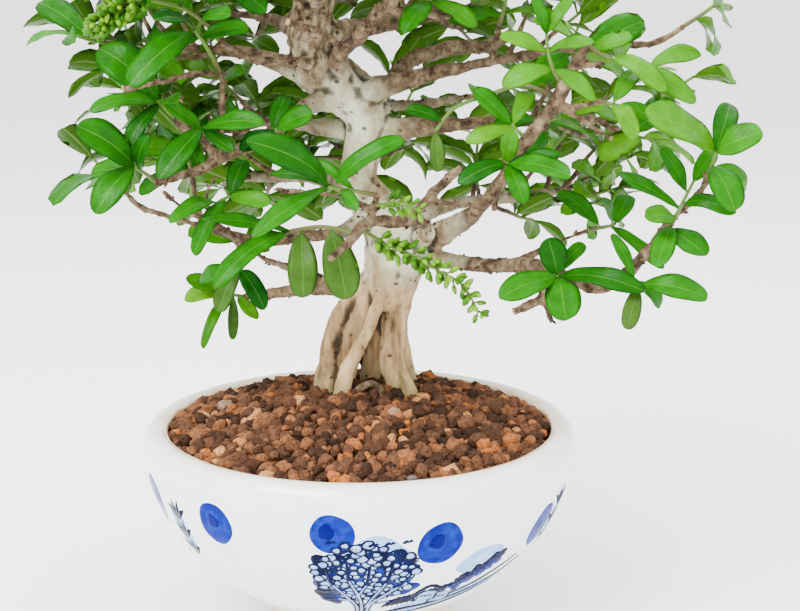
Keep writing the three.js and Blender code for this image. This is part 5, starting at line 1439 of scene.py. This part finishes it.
def add_head(piece, panicle, rng):
    """Whorls of short stalks, each with a bud at its end and one on either side. The stalks' reach is
    head radius * min(1, 0.6 + 3 s) * (1 - s/2), with s from 0 at the first whorl to 1 at the tip."""
    stem, head_from, stalks, whorls = (panicle[key] for key in ("stem", "head_from", "stalks", "whorls"))
    centres, directions, sizes = [], [], []
    for whorl in range(whorls):
        share = whorl / (whorls - 1)
        point, along = along_path(stem, head_from + (1 - head_from) * share)
        normal = unit(np.cross(along, reference(along)))
        across = np.cross(along, normal)
        reach = panicle["head_radius"] * min(1, 0.6 + 3 * share) * (1 - 0.5 * share)
        for stalk in range(stalks):
            angle = 2 * np.pi * stalk / stalks + 0.5 * np.pi * whorl + rng.uniform(-0.3, 0.3)
            heading = unit(0.8 * (normal * np.cos(angle) + across * np.sin(angle)) + 0.6 * along)
            end = point + heading * reach * rng.uniform(0.65, 1)
            add_stem(piece, [point, end], (0.4, 0.3), around=4, spacing=3, finish=BUDDING.index(SHOOT))
            side = np.cross(heading, along)
            for turn in (0, 1, -1)[:panicle["buds"]]:
                direction = unit(heading + 0.9 * turn * side + rng.normal(0, 0.12, 3))
                size = panicle["bud_length"] * rng.uniform(0.8, 1.1) * (1 - 0.25 * share)
                centres.append(end + (point - end) * 0.25 * abs(turn) + direction * size / 2)
                directions.append(direction)
                sizes.append(size)
    sizes = np.array(sizes)
    tones = rng.uniform(0, 1, len(sizes))
    add_ovoids(piece, np.array(centres), np.array(directions), sizes, BUD_SLIMNESS * sizes, tones, **BUD_BEAD)


def make_panicles():
    """The flowering stems with their leaves and heads of buds, one piece each."""
    for number, (name, panicle) in enumerate(PANICLES.items()):
        rng = np.random.default_rng(200 + number)
        piece = Gathered()
        add_stem(piece, panicle["stem"], (1.0, 0.4), around=8, spacing=1.0, finish=BUDDING.index(SHOOT))
        if panicle["leaves"]:
            add_placed_leaves(piece, panicle["stem"], panicle["leaves"], rng, BUDDING.index(LEAF))
        add_head(piece, panicle, rng)
        piece.build(f"budding_{name}", BUDDING, "bud", [f"panicle_{name}"])


make_bowl()
make_soil()
make_wood()
make_cuts()
bud_scales = bough_scales()
make_placed_shoots()
make_seeded_shoots(bud_scales)
make_panicles()
bud_scales.build("bud_scales", [SCALE], "bark")
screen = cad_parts["drainage_screen"]
screen.data.materials.clear()
screen.data.materials.append(SCREEN)


# Floor, light and camera. Lengths here are in metres.

FLOOR_REACH = 14.0
FLOOR_DROP = 0.0002
WORLD_STRENGTH = 2.6
# Name, place, aim, side of the square and power of each lamp.
LAMPS = [("key_light", (-0.55, -0.7, 1.0), (0, 0, 0.15), 0.7, 40),
    ("fill_light", (0.9, -0.6, 0.5), (0, 0, 0.15), 0.9, 6),
    ("top_light", (0.1, 0.4, 1.2), (0, 0, 0.2), 0.9, 18)]
# The camera's aim and distance are in millimetres, like the model's.
CAMERA_PITCH = 12.5
CAMERA_DISTANCE = 700
CAMERA_AIM = np.array([16.7, 0.0, 136.5])
CAMERA_FOCAL_PIXELS = 1701
PHOTO_WIDTH = 800
SENSOR_WIDTH = 36


def placed(name, data, location):
    """A new object in the scene."""
    holder = bpy.data.objects.new(name, data)
    bpy.context.scene.collection.objects.link(holder)
    holder.location = location
    return holder


def make_floor():
    """A wide pale square just below the bowl's foot."""
    mesh = bpy.data.meshes.new("floor")
    corners = [(x * FLOOR_REACH, y * FLOOR_REACH, 0) for x, y in ((-1, -1), (1, -1), (1, 1), (-1, 1))]
    mesh.from_pydata(corners, [], [(0, 1, 2, 3)])
    mesh.materials.append(plain_finish("pale_floor", (0.93, 0.93, 0.93), 0.9))
    floor = placed("floor", mesh, (0, 0, -FLOOR_DROP))


def make_light():
    """White surroundings, and square lamps that look at their aims."""
    world = bpy.data.worlds.new("studio")
    bpy.context.scene.world = world
    world.use_nodes = True
    background = world.node_tree.nodes["Background"]
    background.inputs["Color"].default_value = (1.0, 1.0, 1.0, 1)
    background.inputs["Strength"].default_value = WORLD_STRENGTH
    for name, place, aim, side, power in LAMPS:
        lamp = bpy.data.lights.new(name, "AREA")
        lamp.size = side
        lamp.energy = power
        holder = placed(name, lamp, place)
        holder.rotation_mode = "QUATERNION"
        direction = unit(np.array(aim, float) - np.array(place, float))
        holder.rotation_quaternion = mathutils.Vector(direction).to_track_quat("-Z", "Y")


def make_camera():
    """The photo's view: CAMERA_DISTANCE off the aim in front, looking down by CAMERA_PITCH degrees."""
    camera = bpy.data.cameras.new("photo_camera")
    camera.sensor_width = SENSOR_WIDTH
    camera.lens = SENSOR_WIDTH * CAMERA_FOCAL_PIXELS / PHOTO_WIDTH
    pitch = np.radians(CAMERA_PITCH)
    place = CAMERA_AIM + CAMERA_DISTANCE * np.array([0, -np.cos(pitch), np.sin(pitch)])
    holder = placed("photo_camera", camera, place * MILLIMETRE + BOWL_AXIS)
    holder.rotation_euler = (np.pi / 2 - pitch, 0, 0)
    bpy.context.scene.camera = holder


make_floor()
make_light()
make_camera()
